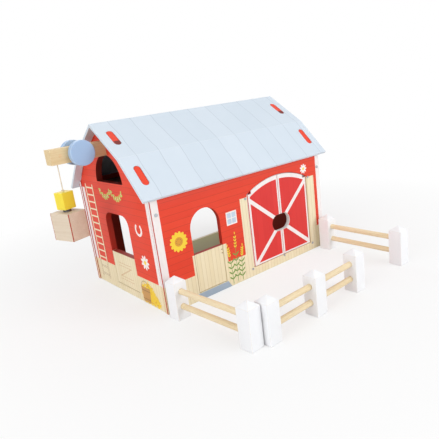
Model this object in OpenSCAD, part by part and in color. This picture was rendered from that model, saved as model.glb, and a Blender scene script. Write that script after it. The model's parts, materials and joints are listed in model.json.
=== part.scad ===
/* [Barn walls] */
// Outside length of the two long walls
barn_len = 420; // [390:10:480]
// Outside width over the two long walls
barn_w = 284; // [270:2:320]
// Thickness of the long walls, the two floors and the leaves of the double door
panel_t = 9; // [7:0.5:10]
// Thickness of the two gable walls, which stand up through the roof
gable_t = 12; // [9:0.5:14]
// How far each gable wall stands back from the ends of the long walls
gable_inset = 1.5; // [0.5:0.5:4]

/* [Roof] */
// Thickness of the four roof panels
roof_t = 5; // [4:0.5:7]
// How far the eave reaches past the long wall
eave_out = 9; // [4:1:16]
// Height of the top face at the eave
eave_z = 207; // [204:1:212]
// Distance of the bend in the roof from the face of the long wall
bend_in = 54.5; // [48:0.5:62]
// Height of the top face at the bend
bend_z = 274; // [270:1:280]
// Height of the ridge
ridge_z = 333; // [326:1:344]
// How far the roof reaches past each end of the long walls
gable_out = 15.5; // [10:0.5:24]
// Length of a roof slot with its round ends
slot_len = 42; // [38:1:50]
// Play of a gable tab all round in its roof slot
slot_play = 0.7; // [0.3:0.1:1]
// How far a gable tab stays below the top face of the roof
tab_sunk = 0.5; // [0.5:0.5:3]
// Middle of the lower slots, measured up the slope from the eave
lower_slot_at = 50; // [44:1:56]
// Middle of the upper slots, measured up the slope from the bend
upper_slot_at = 56; // [48:1:64]

/* [Double door] */
// Middle of the double door opening from the pulley end
door_mid = 292; // [280:1:300]
// Width of the double door opening
door_w = 171; // [150:1:180]
// Height of the double door sill
door_sill = 17; // [15:1:24]
// Height of the opening at its sides, where the arch starts
door_side_z = 165; // [150:1:168]
// Height of the crown of the arch
door_crown_z = 187; // [178:1:188]
// Width of the oval finger hole where the leaves meet
finger_w = 50; // [40:1:60]
// Height of the oval finger hole
finger_h = 34; // [24:1:38]
// Height of the middle of the finger hole
finger_z = 88; // [70:1:100]

/* [Stable door] */
// Middle of the stable door opening from the pulley end
stable_mid = 103; // [90:1:110]
// Width of the stable door opening
stable_w = 66; // [56:1:72]
// Height of the stable door sill
stable_sill = 14; // [12:1:20]
// Height where the round head of the stable opening starts
stable_spring_z = 133; // [125:1:140]
// Height of the top edge of the stable half door
stable_leaf_z = 87; // [70:1:100]

/* [Gable openings] */
// Width of the gable doorway
gate_w = 92; // [80:1:100]
// Height of the gable door sill
gate_sill = 14; // [12:1:20]
// Height of the gable doorway
gate_top_z = 163.5; // [150:0.5:170]
// Radius of the upper corners of the gable doorway
gate_r = 20; // [10:1:30]
// Height of the top edge of the gable half door
gate_leaf_z = 82; // [66:1:96]
// How far the crown of the loft opening reaches above the underside of the beam
loft_lap = 1; // [0.5:0.5:2]
// Height of the sill of the loft opening
loft_sill_z = 223; // [220:1:228]

/* [Leaves and pins] */
// Gap around a door leaf
leaf_gap = 1; // [0.8:0.1:1.5]
// Diameter of a hinge pin
pin_d = 3; // [2:0.1:3.5]
// Length of a hinge pin in the wall and in the leaf
pin_grip = 8; // [6:1:10]
// Radial play of a leaf on its hinge pin
pin_play = 0.06; // [0.02:0.01:0.1]
// Length of the square top corner of a leaf at its hinge
leaf_flat = 6.5; // [6.5:0.5:9]

/* [Half door hinges] */
// Outer radius of a hinge knuckle
knuckle_r = 1.6; // [1.4:0.1:2]
// Radius of the pin in a butt hinge
hinge_pin_r = 0.8; // [0.6:0.1:0.9]
// Thickness of a hinge plate
plate_gauge = 0.8; // [0.6:0.1:1]
// Width of one hinge plate
hinge_plate_w = 9; // [7:0.5:11]
// Height of a butt hinge
hinge_h = 18; // [14:1:22]
// Distance of a butt hinge from the end of its leaf
hinge_end = 8; // [5:1:10]
// Gap between the knuckles of a butt hinge
knuckle_gap = 0.2; // [0.1:0.05:0.3]

/* [Battens and screws] */
// Width of a batten behind the double door
batten_w = 14; // [10:1:16]
// Thickness of the battens and the stop block
batten_t = 9; // [7:1:12]
// How far the stop block reaches up behind the leaves
stop_lap = 9; // [4:1:14]
// Running gap between a leaf and the stop block
stop_gap = 0.3; // [0.2:0.1:0.6]
// Width of the stop block behind the meeting leaves
block_w = 20; // [16:1:30]
// Head diameter of the small screws
screw_head_d = 5; // [4:0.5:6]
// Shank diameter of the small screws
screw_d = 2.5; // [2:0.1:3]
// Length of the small screws under the head
screw_len = 14; // [12:1:16]
// Height of the heads of the small screws
screw_head_h = 0.8; // [0.5:0.1:1.5]
// Distance of the batten screws from the sides of the double door
screw_out = 4; // [3:0.5:6]
// Distance of the lower screws below the sill
screw_below = 2; // [1:0.5:4]
// Distance of the upper screw on the left below the start of the arch
left_screw_drop = 7; // [2:1:20]
// Distance of the upper screw on the right below the start of the arch
right_screw_drop = 3; // [2:1:20]

/* [Corner bolts] */
// Height of the corner bolts
bolt_z = 178; // [160:1:186]
// Shank diameter of a corner bolt
bolt_d = 4; // [3:0.5:5]
// Head diameter of a corner bolt
bolt_head_d = 6; // [5:0.5:8]
// Head height of a corner bolt
bolt_head_h = 1.5; // [1:0.5:2]
// Depth of the barrel nut inside the gable edge
nut_at = 14; // [12:1:20]
// Diameter of a barrel nut
nut_d = 8; // [7:0.5:9]
// Wood left over the end of a barrel nut
nut_skin = 1.5; // [1:0.5:2.5]

/* [Floors] */
// Height of the top of the loft floor
loft_z = 209; // [204:1:211]
// Side of the square ledgers under the loft floor
ledger_w = 12; // [8:1:14]
// Gap between the loft floor and the walls
floor_gap = 0.3; // [0.2:0.1:1]
// Diameter of the dowels in the ground floor
dowel_d = 5; // [4:0.5:6]
// Length of a dowel in the floor
dowel_in_floor = 10; // [8:1:14]
// Length of a dowel in the wall
dowel_in_wall = 5; // [3:0.5:6]
// Distance of the outer dowels from the ends of the barn
dowel_in_x = 40; // [30:5:80]
// Distance of the gable dowels from the long walls' faces
dowel_in_y = 60; // [50:5:90]

/* [Pulley] */
// Side of the square pulley beam
beam_w = 26; // [22:1:30]
// Depth of the middle of the beam below the ridge
beam_drop = 45; // [43:0.5:47]
// How far the beam reaches out of the end of the barn
beam_out = 98; // [96:1:120]
// How far the beam reaches in behind the gable
beam_in = 34; // [26:1:50]
// Play of the beam in its square hole
beam_fit = 0.1; // [0.05:0.05:0.2]
// Width of the cord slot in the beam
cord_slot_w = 8; // [7:0.5:10]
// Distance of the winch axle from the end of the barn
axle_out = 46; // [44:1:52]
// Diameter of the winch axle
axle_d = 8; // [6:0.5:9]
// Radial play of the axle in the beam
axle_play = 0.06; // [0.02:0.01:0.1]
// Diameter of a winch wheel
wheel_d = 44; // [36:1:50]
// Thickness of a winch wheel
wheel_t = 12; // [8:1:14]
// Wood left over the end of the axle in a wheel
wheel_skin = 3; // [2:0.5:5]
// Gap between a wheel and the beam
wheel_gap = 1; // [0.5:0.1:2]
// Diameter of the guide pin at the beam's end
guide_d = 6; // [5:0.5:7]
// Diameter of the peg that locks the beam
peg_d = 6; // [5:0.5:8]
// How far the peg stands out of the beam at each end
peg_out = 6; // [4:1:10]
// Diameter of the hoist cord
cord_d = 2; // [1.5:0.1:2.2]
// Depth of the cord in the magnet block
cord_in_hook = 10; // [6:1:20]

/* [Hoist] */
// Distance of the hanging cord from the end of the barn
cord_out = 85; // [82:1:88]
// Side of the yellow magnet block
hook_w = 23; // [20:1:28]
// Height of the magnet block
hook_h = 30; // [24:1:36]
// Length of free cord between the beam and the magnet block
free_cord = 48; // [44:1:54]
// Diameter of the magnet
magnet_d = 14; // [12:1:18]
// Thickness of the magnet
magnet_t = 4; // [3:0.5:6]
// Depth of the magnet's seat in its block
magnet_in = 1; // [0.5:0.5:2]
// Length of the hay bale
bale_len = 50; // [40:1:60]
// Width of the hay bale
bale_w = 37; // [30:1:44]
// Height of the hay bale
bale_h = 49; // [40:1:54]
// Gap between the magnet and the bale
bale_gap = 0.2; // [0.1:0.1:0.4]
// How far the load is turned about the cord
load_turn = 17; // [0:1:30]
// Diameter of the steel plate on the bale
plate_d = 14; // [10:1:20]
// Thickness of the steel plate on the bale
plate_t = 2; // [1:0.5:3]
// Diameter of the nail that holds the steel plate
plate_nail_d = 2.5; // [2:0.5:4]
// Length of that nail in the bale
plate_nail_len = 12; // [8:1:20]

/* [Fence] */
// Side of a fence post
post_w = 25; // [18:1:26]
// Height of a fence post up to its pointed top
post_h = 66; // [60:1:80]
// Height of the pointed top
point_h = 10; // [4:1:14]
// Diameter of a fence rail
rail_d = 10; // [7:0.5:12]
// Height of the lower rail
rail_low_z = 23; // [16:1:26]
// Height of the upper rail
rail_high_z = 50; // [44:1:54]
// Depth of a rail in its post
rail_seat = 8; // [5:1:8]
// Distance between the posts of a side section
side_bay = 168; // [140:4:180]
// Distance between the posts of the front section
front_bay = 108; // [90:1:112]
// Distance of the side sections' first posts from the front wall
side_post_out = 22; // [18:1:40]
// Distance of the left section from the pulley end
left_post_in = 10; // [6:1:16]
// Distance of the right section from the far end
right_post_in = 12; // [8:1:14]
// Distance of the front section from the pulley end
front_post_in = 50; // [48:1:60]
// How far the front section stands ahead of the side sections' first posts
front_post_out = 177; // [176:1:200]
// Turn of the left section, where 90 is square to the barn
left_turn = 86; // [85:1:90]
// Turn of the front section, where 0 is parallel to the barn
front_turn = 2; // [0:1:4]

/* [Hidden] */
$fn = 64;
play = 0.1;
over = 1;

half_len = barn_len / 2;
half_w = barn_w / 2;
inner_y = half_w - panel_t;
gable_x = half_len - gable_inset;
gable_in_x = gable_x - gable_t;
gable_mid_x = gable_x - gable_t / 2;

// Slopes of the lower and the upper roof panels
low_a = atan2(bend_z - eave_z, bend_in + eave_out);
top_a = atan2(ridge_z - bend_z, half_w - bend_in);

// Corners of the front half of the roof, as Y and Z
low_n = [sin(low_a), -cos(low_a)];
top_n = [sin(top_a), -cos(top_a)];
eave_p = [-half_w - eave_out, eave_z];
bend_p = [-half_w + bend_in, bend_z];
ridge_p = [0, ridge_z];
eave_under = eave_p + roof_t * low_n;
bend_under = bend_p + roof_t / (1 + low_n * top_n) * (low_n + top_n);
ridge_under = [0, ridge_z - roof_t / cos(top_a)];

// Height of the underside of the lower roof panel at a place y
function under_z(y) = eave_under[1] + (y - eave_under[0]) * tan(low_a);

// Double door: the arch is a circle through its crown and its two sides
door_x = door_mid - half_len;
door_rise = door_crown_z - door_side_z;
door_r = (door_rise * door_rise + door_w * door_w / 4) / (2 * door_rise);
door_c = door_crown_z - door_r;
leaf_r = panel_t / 2;
leaf_y = -half_w + leaf_r;
door_pivot = door_w / 2 - leaf_gap - leaf_r;
leaf_top_z = door_side_z - leaf_gap;
arch_pin_z = door_c + sqrt(door_r * door_r - door_pivot * door_pivot);

stable_x = stable_mid - half_len;
loft_r = ridge_z - beam_drop - beam_w / 2 + loft_lap - loft_sill_z;
nut_len = gable_t - nut_skin;
dowel_places = [-half_len + dowel_in_x, 0, half_len - dowel_in_x];
gable_dowels = [-half_w + dowel_in_y, half_w - dowel_in_y];
dowel_len = dowel_in_floor + dowel_in_wall;

// Winch: the cord leaves the top of the axle, bends over the guide pin and hangs down
beam_z = ridge_z - beam_drop;
beam_low_z = beam_z - beam_w / 2;
beam_end = half_len + beam_out;
axle_x = -half_len - axle_out;
cord_r = cord_d / 2;
hoist_x = -half_len - cord_out;
bend_r = guide_d / 2 + cord_r;
guide_x = hoist_x + bend_r;
run_z = beam_z + axle_d / 2 + cord_r;
guide_z = run_z - bend_r;
cord_slot_top = run_z + cord_r + over;
winding_r = axle_d / 2 + cord_d;
winding_w = 3 * cord_d;
run_start = axle_x - winding_r;
axle_len = beam_w + 2 * (wheel_gap + wheel_t - wheel_skin);
hook_top_z = beam_low_z - free_cord;
hook_z = hook_top_z - hook_h;
magnet_low_z = hook_z + magnet_in - magnet_t;
plate_top_z = magnet_low_z - bale_gap;
bale_top_z = plate_top_z - plate_t;

// Fence: the place of each section's first post and the way it runs
side_post_y = -half_w - side_post_out;
left_post_x = -half_len + left_post_in;
right_post_x = half_len - right_post_in;
front_post = [-half_len + front_post_in, side_post_y - front_post_out];

red = "#e8472c";
door_red = "#d8302c";
pale_blue = "#d9e3ed";
sky_blue = "#a9c6e6";
bare_wood = "#e6cf9f";
white_paint = "#f6f6f4";
steel = "#8d9298";
dark_metal = "#3a3c40";
yellow = "#ecd42f";
cord_white = "#efece2";

// A box with its middle at x, y, between two heights
module block(x, y, z0, z1, dx, dy) {
    translate([x - dx / 2, y - dy / 2, z0]) cube([dx, dy, z1 - z0]);
}

// A round bar along X, Y or Z that starts at a point
module bar_x(p, r, len) {
    translate(p) rotate([0, 90, 0]) cylinder(r = r, h = len);
}
module bar_y(p, r, len) {
    translate(p) rotate([-90, 0, 0]) cylinder(r = r, h = len);
}
module bar_z(p, r, len) {
    translate(p) cylinder(r = r, h = len);
}

// A prism along X from a list of Y and Z points
module prism_x(points, x0, x1) {
    translate([x0, 0, 0]) rotate([90, 0, 90]) linear_extrude(height = x1 - x0) polygon(points);
}

// The arched shape of the double door, through the wall and smaller by a gap all round
module door_arch(gap) {
    intersection() {
        block(door_x, leaf_y, door_sill + gap, door_crown_z + over, door_w - 2 * gap,
            panel_t + 2 * over);
        bar_y([door_x, -half_w - over, door_c], door_r - gap, panel_t + 2 * over);
    }
}

// The stable opening with its half round head
module stable_cut() {
    block(stable_x, leaf_y, stable_sill, stable_spring_z, stable_w, panel_t + 2 * over);
    bar_y([stable_x, -half_w - over, stable_spring_z], stable_w / 2, panel_t + 2 * over);
}

// A long wall as it stands at the front, with both openings
module long_wall() {
    difference() {
        prism_x([[-half_w, 0], [-inner_y, 0], [-inner_y, under_z(-inner_y)],
            [-half_w, under_z(-half_w)]], -half_len, half_len);
        door_arch(0);
        stable_cut();
        for (s = [-1, 1])
            bar_y([s * gable_mid_x, -half_w - over, bolt_z], bolt_d / 2 + play, panel_t + 2 * over);
        for (x = dowel_places)
            bar_y([x, -inner_y - dowel_in_wall, panel_t / 2], dowel_d / 2, dowel_in_wall + over);
    }
}

// Bare wood board that the walls stand around
module floor_board() {
    color(bare_wood)
        difference() {
            block(0, 0, 0, panel_t, 2 * gable_in_x, 2 * inner_y);
            dowels();
        }
}

// Wood dowels between the ground floor and the four walls
module dowels() {
    for (m = [0, 1]) {
        mirror([0, m, 0])
            for (x = dowel_places)
                bar_y([x, -inner_y - dowel_in_wall, panel_t / 2], dowel_d / 2, dowel_len);
        mirror([m, 0, 0])
            for (y = gable_dowels)
                bar_x([-gable_in_x - dowel_in_wall, y, panel_t / 2], dowel_d / 2, dowel_len);
    }
}
module floor_dowels() {
    color(bare_wood) dowels();
}

// Front wall with holes for the door pins and the small screws
module front_wall() {
    color(red)
        difference() {
            long_wall();
            pin_bars(0);
            screw_shanks();
        }
}

// Rear wall, the mirror image of the front one, with both openings left open down to the floor board
module rear_wall() {
    color(red) mirror([0, 1, 0])
        difference() {
            long_wall();
            block(door_x, leaf_y, panel_t, door_sill + over, door_w, panel_t + 2 * over);
            block(stable_x, leaf_y, panel_t, stable_sill + over, stable_w, panel_t + 2 * over);
        }
}

// An upright bar with round ends that runs along Y
module round_bar(w, len, h) {
    run = len - w;
    translate([-w / 2, -run / 2, 0]) cube([w, run, h]);
    for (e = [-1, 1])
        bar_z([0, e * run / 2, 0], w / 2, h);
}

// A tab with round ends on the slope which starts at point p and rises at angle a
module gable_tab(p, a, at) {
    translate([-gable_mid_x, p[0], p[1]]) rotate([a, 0, 0]) translate([0, at, -roof_t - over])
        round_bar(gable_t, slot_len - 2 * slot_play, roof_t + over - tab_sunk);
}

// Doorway with rounded upper corners
module gate_cut() {
    x = -gable_mid_x;
    dx = gable_t + 2 * over;
    block(x, 0, gate_sill, gate_top_z - gate_r, dx, gate_w);
    block(x, 0, gate_sill, gate_top_z, dx, gate_w - 2 * gate_r);
    for (s = [-1, 1])
        bar_x([x - dx / 2, s * (gate_w / 2 - gate_r), gate_top_z - gate_r], gate_r, dx);
}

// Half round loft opening
module loft_cut() {
    x = -gable_mid_x;
    dx = gable_t + 2 * over;
    intersection() {
        bar_x([x - dx / 2, 0, loft_sill_z], loft_r, dx);
        block(x, 0, loft_sill_z, loft_sill_z + loft_r + over, dx, 2 * loft_r + over);
    }
}

// A gable wall as it stands at the pulley end, without the hole for the beam
module gable_wall() {
    slope = [[-inner_y, 0], [-inner_y, under_z(-inner_y)], bend_under, ridge_under];
    difference() {
        union() {
            prism_x(concat(slope, [for (i = [2:-1:0]) [-slope[i][0], slope[i][1]]]),
                -gable_x, -gable_in_x);
            for (m = [0, 1])
                mirror([0, m, 0]) {
                    gable_tab(eave_p, low_a, lower_slot_at);
                    gable_tab(bend_p, top_a, upper_slot_at);
                }
        }
        gate_cut();
        loft_cut();
        for (m = [0, 1])
            mirror([0, m, 0]) {
                bar_y([-gable_mid_x, -inner_y - over, bolt_z], bolt_d / 2 + play, nut_at + over);
                nut_bar(over);
            }
        dowels();
    }
}

// One barrel nut, or its hole where it runs out of the wood
module nut_bar(out) {
    bar_x([-gable_in_x - nut_len, -inner_y + nut_at, bolt_z], nut_d / 2, nut_len + out);
}

// Gable wall that carries the pulley beam
module pulley_gable() {
    hole = beam_w + 2 * beam_fit;
    color(red)
        difference() {
            gable_wall();
            block(-gable_mid_x, 0, beam_z - hole / 2, beam_z + hole / 2, gable_t + 2 * over, hole);
        }
}

// Gable wall at the other end
module far_gable() {
    color(red) mirror([1, 0, 0]) gable_wall();
}

// Square battens on the long walls that carry the loft floor
module loft_ledgers() {
    z = loft_z - panel_t;
    color(bare_wood)
        for (s = [-1, 1])
            block(0, s * (inner_y - ledger_w / 2), z - ledger_w, z, 2 * (gable_in_x - floor_gap), ledger_w);
}

// Loft floor on its ledgers
module loft_floor() {
    color(bare_wood)
        block(0, 0, loft_z - panel_t, loft_z, 2 * (gable_in_x - floor_gap), 2 * (inner_y - floor_gap));
}

// Slots with round ends through a roof panel, one over each gable
module roof_slots(p, a, at) {
    for (s = [-1, 1])
        translate([s * gable_mid_x, p[0], p[1]]) rotate([a, 0, 0]) translate([0, at, -roof_t - over])
            round_bar(gable_t + 2 * slot_play, slot_len, roof_t + 2 * over);
}

module roof_panel(points, p, a, at) {
    color(pale_blue)
        difference() {
            prism_x(points, -half_len - gable_out, half_len + gable_out);
            roof_slots(p, a, at);
        }
}
module roof_front_lower() {
    roof_panel([eave_p, bend_p, bend_under, eave_under], eave_p, low_a, lower_slot_at);
}
module roof_front_upper() {
    roof_panel([bend_p, ridge_p, ridge_under, bend_under], bend_p, top_a, upper_slot_at);
}
module roof_rear_upper() {
    mirror([0, 1, 0]) roof_front_upper();
}
module roof_rear_lower() {
    mirror([0, 1, 0]) roof_front_lower();
}

// Copies something from one corner of the barn to all four
module four_corners() {
    for (i = [0, 1])
        for (j = [0, 1])
            mirror([i, 0, 0]) mirror([0, j, 0]) children();
}

// Bolts through the long walls into the barrel nuts
module bolt_shank() {
    bar_y([-gable_mid_x, -half_w, bolt_z], bolt_d / 2, panel_t + nut_at);
}
module corner_bolts() {
    color(steel)
        four_corners() {
            bar_y([-gable_mid_x, -half_w - bolt_head_h, bolt_z], bolt_head_d / 2, bolt_head_h);
            bolt_shank();
        }
}

// Barrel nuts let into the inside of the gables
module barrel_nuts() {
    color(steel)
        four_corners()
            difference() {
                nut_bar(0);
                bolt_shank();
            }
}

// Battens behind the sides of the double door
module door_battens() {
    color(bare_wood)
        difference() {
            for (s = [-1, 1])
                block(door_x + s * (door_w + batten_w) / 2, -inner_y + batten_t / 2, panel_t,
                    door_side_z, batten_w, batten_t);
            screw_shanks();
        }
}

// Stop block behind the meeting leaves of the double door
module stop_block() {
    color(bare_wood)
        difference() {
            block(door_x, -inner_y + batten_t / 2, panel_t, door_sill + stop_lap, block_w, batten_t);
            block(door_x, -inner_y, door_sill, door_sill + stop_lap + over, block_w + over, 2 * stop_gap);
            screw_shanks();
        }
}

// Places of the small screws on the front wall, as X and Z
screw_side = door_w / 2 + screw_out;
low_screw_z = door_sill - screw_below;
screw_places = [[door_x - screw_side, door_side_z - left_screw_drop],
    [door_x + screw_side, door_side_z - right_screw_drop], [door_x - screw_side, low_screw_z],
    [door_x + screw_side, low_screw_z], [door_x, low_screw_z]];
module screw_shanks() {
    for (p = screw_places)
        bar_y([p[0], -half_w - over, p[1]], screw_d / 2, screw_len + over);
}

// Small screws that hold the battens and the stop block
module frame_screws() {
    color(steel)
        for (p = screw_places) {
            bar_y([p[0], -half_w - screw_head_h, p[1]], screw_head_d / 2, screw_head_h);
            bar_y([p[0], -half_w, p[1]], screw_d / 2, screw_len);
        }
}

// Upright pins of the double door, which are fixed in the wall
module pin_bars(extra) {
    low_z = door_sill + leaf_gap - pin_grip;
    for (s = [-1, 1]) {
        bar_z([door_x + s * door_pivot, leaf_y, leaf_top_z - pin_grip], pin_d / 2 + extra,
            arch_pin_z - leaf_top_z + 2 * pin_grip);
        bar_z([door_x + s * door_pivot, leaf_y, low_z], pin_d / 2 + extra, 2 * pin_grip);
    }
}
module door_pins() {
    color(steel) pin_bars(0);
}

// One leaf of the double door with its hinge at side s
module barn_leaf(s) {
    flat = leaf_flat + over;
    color(door_red)
        difference() {
            union() {
                intersection() {
                    block(door_x + s * (door_pivot - leaf_flat + leaf_gap / 2) / 2, leaf_y, door_sill,
                        door_crown_z, door_pivot - leaf_flat - leaf_gap / 2, panel_t);
                    door_arch(leaf_gap);
                }
                block(door_x + s * (door_pivot - flat / 2), leaf_y, door_sill + leaf_gap, leaf_top_z,
                    flat, panel_t);
                bar_z([door_x + s * door_pivot, leaf_y, door_sill + leaf_gap], leaf_r,
                    leaf_top_z - door_sill - leaf_gap);
            }
            finger_hole();
            pin_bars(pin_play);
        }
}
module barn_door_left() {
    barn_leaf(-1);
}
module barn_door_right() {
    barn_leaf(1);
}

// Oval finger hole, half of it in each leaf
module finger_hole() {
    run = finger_w - finger_h;
    block(door_x, leaf_y, finger_z - finger_h / 2, finger_z + finger_h / 2, run, panel_t + 2 * over);
    for (s = [-1, 1])
        bar_y([door_x + s * run / 2, -half_w - over, finger_z], finger_h / 2, panel_t + 2 * over);
}

// A half door leaf, t thick, at its butt hinge: it runs along X from the hinge line, behind it is +Y
module half_leaf(w, low, high, t) {
    translate([leaf_gap / 2, -knuckle_r - t, low + leaf_gap])
        cube([w - 2 * leaf_gap, t, high - low - leaf_gap]);
}

// Heights of the two butt hinges of a leaf
function hinge_heights(low, high) = [low + leaf_gap + hinge_end, high - hinge_end - hinge_h];

// The plate of a butt hinge on one side, with the knuckles from a list of turns
module hinge_plate(z, side, turns, hole_r) {
    step = hinge_h / 3;
    edge = knuckle_r + knuckle_gap;
    difference() {
        union() {
            block(side * (edge + hinge_plate_w) / 2, -knuckle_r + plate_gauge / 2, z, z + hinge_h,
                hinge_plate_w - edge, plate_gauge);
            for (i = turns) {
                z0 = z + i * step + knuckle_gap / 2;
                z1 = z + (i + 1) * step - knuckle_gap / 2;
                block(side * (edge + over) / 2, -knuckle_r + plate_gauge / 2, z0, z1, edge + over,
                    plate_gauge);
                bar_z([0, 0, z0], knuckle_r, z1 - z0);
            }
        }
        bar_z([0, 0, z - over], hole_r, hinge_h + 2 * over);
    }
}

// Fixed half of the butt hinges with their pins, and the half that turns with a leaf
module fixed_hinges(low, high) {
    for (z = hinge_heights(low, high)) {
        hinge_plate(z, -1, [0, 2], hinge_pin_r);
        bar_z([0, 0, z], hinge_pin_r, hinge_h);
    }
}
module leaf_hinges(low, high) {
    for (z = hinge_heights(low, high))
        hinge_plate(z, 1, [1], hinge_pin_r + pin_play);
}

// Places of the hinge lines of the three half doors
module at_stable_hinge() {
    translate([stable_x - stable_w / 2 + leaf_gap / 2, -inner_y + knuckle_r, 0]) children();
}
module at_pulley_hinge() {
    translate([-gable_in_x + knuckle_r, gate_w / 2 - leaf_gap / 2, 0]) rotate([0, 0, -90]) children();
}
module at_far_hinge() {
    mirror([1, 0, 0]) at_pulley_hinge() children();
}

module frame_hinges() {
    color(steel) {
        at_stable_hinge() fixed_hinges(stable_sill, stable_leaf_z);
        at_pulley_hinge() fixed_hinges(gate_sill, gate_leaf_z);
        at_far_hinge() fixed_hinges(gate_sill, gate_leaf_z);
    }
}
module stable_door() {
    color(bare_wood) at_stable_hinge() half_leaf(stable_w, stable_sill, stable_leaf_z, panel_t);
}
module stable_door_hinges() {
    color(steel) at_stable_hinge() leaf_hinges(stable_sill, stable_leaf_z);
}
module pulley_half_door() {
    color(bare_wood) at_pulley_hinge() half_leaf(gate_w, gate_sill, gate_leaf_z, gable_t);
}
module pulley_door_hinges() {
    color(steel) at_pulley_hinge() leaf_hinges(gate_sill, gate_leaf_z);
}
module far_half_door() {
    color(bare_wood) at_far_hinge() half_leaf(gate_w, gate_sill, gate_leaf_z, gable_t);
}
module far_door_hinges() {
    color(steel) at_far_hinge() leaf_hinges(gate_sill, gate_leaf_z);
}

// Places of the pins in the beam
module axle_bar(r, len) {
    bar_y([axle_x, -len / 2, beam_z], r, len);
}
module guide_bar(len) {
    bar_y([guide_x, -len / 2, guide_z], guide_d / 2, len);
}
module peg_bar() {
    bar_z([-gable_in_x + peg_d / 2 + play, 0, beam_low_z - peg_out], peg_d / 2, beam_w + 2 * peg_out);
}

// Square beam with a cord slot that is open below
module pulley_beam() {
    slot_x0 = hoist_x - bend_r;
    slot_x1 = axle_x + winding_r + 2 * over;
    x1 = -gable_in_x + beam_in;
    color(bare_wood)
        difference() {
            block((x1 - beam_end) / 2, 0, beam_low_z, beam_low_z + beam_w, x1 + beam_end, beam_w);
            block((slot_x0 + slot_x1) / 2, 0, beam_low_z - over, cord_slot_top,
                slot_x1 - slot_x0, cord_slot_w);
            axle_bar(axle_d / 2 + axle_play, beam_w + 2 * over);
            guide_bar(beam_w + 2 * over);
            peg_bar();
        }
}

// Peg behind the gable that keeps the beam from sliding out
module beam_peg() {
    color(bare_wood) peg_bar();
}

// Wood pin that the cord bends over
module guide_pin() {
    color(bare_wood) guide_bar(beam_w);
}

module winch_axle() {
    color(bare_wood) axle_bar(axle_d / 2, axle_len);
}

// Wheels bored from inside and glued on the ends of the axle
module winch_wheel(s) {
    y = beam_w / 2 + wheel_gap + wheel_t / 2;
    color(sky_blue)
        difference() {
            bar_y([axle_x, s * y - wheel_t / 2, beam_z], wheel_d / 2, wheel_t);
            axle_bar(axle_d / 2, axle_len);
        }
}
module winch_wheel_front() {
    winch_wheel(-1);
}
module winch_wheel_rear() {
    winch_wheel(1);
}

// Turns of cord on the axle, as one solid
module cord_winding() {
    color(cord_white)
        difference() {
            axle_bar(winding_r, winding_w);
            axle_bar(axle_d / 2, winding_w + 2 * over);
        }
}

// Cord from the winding to the guide pin and round a quarter of the pin
module cord_run() {
    color(cord_white) {
        bar_x([guide_x, 0, run_z], cord_r, run_start - guide_x);
        translate([guide_x, 0, guide_z]) rotate([90, 0, 0])
            intersection() {
                rotate_extrude() translate([bend_r, 0]) circle(r = cord_r);
                translate([-2 * bend_r, 0, -cord_d]) cube([2 * bend_r, 2 * bend_r, 2 * cord_d]);
            }
    }
}

// Cord that hangs from the guide pin into the magnet block
module hoist_cord() {
    color(cord_white) cord_bar(cord_r);
}
module cord_bar(r) {
    low_z = hook_top_z - cord_in_hook;
    bar_z([hoist_x, 0, low_z], r, guide_z - low_z);
}

// Places the load at the cord, turned a little as it hangs
module at_hoist() {
    translate([hoist_x, 0, 0]) rotate([0, 0, load_turn]) children();
}

module magnet_block() {
    color(yellow)
        difference() {
            at_hoist() block(0, 0, hook_z, hook_top_z, hook_w, hook_w);
            cord_bar(cord_r);
            magnet_disc();
        }
}
module magnet_disc() {
    bar_z([hoist_x, 0, magnet_low_z], magnet_d / 2, magnet_t);
}
module magnet() {
    color(dark_metal) magnet_disc();
}

module plate_nail() {
    bar_z([hoist_x, 0, bale_top_z - plate_nail_len], plate_nail_d / 2, plate_nail_len + plate_t);
}
module hay_bale() {
    color(yellow)
        difference() {
            at_hoist() block(0, 0, bale_top_z - bale_h, bale_top_z, bale_w, bale_len);
            plate_nail();
        }
}
module bale_plate() {
    color(dark_metal) {
        bar_z([hoist_x, 0, bale_top_z], plate_d / 2, plate_t);
        plate_nail();
    }
}

// A fence section that starts at its first post and runs along X
module fence_posts(bays, bay) {
    color(white_paint)
        difference() {
            for (i = [0:bays])
                fence_post(i * bay);
            fence_bars(bays, bay);
        }
}
module fence_rails(bays, bay) {
    color(bare_wood) fence_bars(bays, bay);
}
module fence_bars(bays, bay) {
    for (i = [0:bays - 1])
        for (z = [rail_low_z, rail_high_z])
            bar_x([i * bay + post_w / 2 - rail_seat, 0, z], rail_d / 2, bay - post_w + 2 * rail_seat);
}

// Square post with a pointed top
module fence_post(x) {
    block(x, 0, 0, post_h, post_w, post_w);
    translate([x, 0, post_h]) intersection() {
        post_roof();
        rotate([0, 0, 90]) post_roof();
    }
}
module post_roof() {
    rotate([90, 0, 90]) translate([0, 0, -post_w / 2]) linear_extrude(height = post_w)
        polygon([[-post_w / 2, 0], [post_w / 2, 0], [0, point_h]]);
}

module at_left_fence() {
    translate([left_post_x, side_post_y, 0]) rotate([0, 0, -left_turn]) children();
}
module at_front_fence() {
    translate(front_post) rotate([0, 0, front_turn]) children();
}
module at_right_fence() {
    translate([right_post_x, side_post_y, 0]) rotate([0, 0, -90]) children();
}
module left_fence_posts() {
    at_left_fence() fence_posts(1, side_bay);
}
module left_fence_rails() {
    at_left_fence() fence_rails(1, side_bay);
}
module front_fence_posts() {
    at_front_fence() fence_posts(2, front_bay);
}
module front_fence_rails() {
    at_front_fence() fence_rails(2, front_bay);
}
module right_fence_posts() {
    at_right_fence() fence_posts(1, side_bay);
}
module right_fence_rails() {
    at_right_fence() fence_rails(1, side_bay);
}

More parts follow.
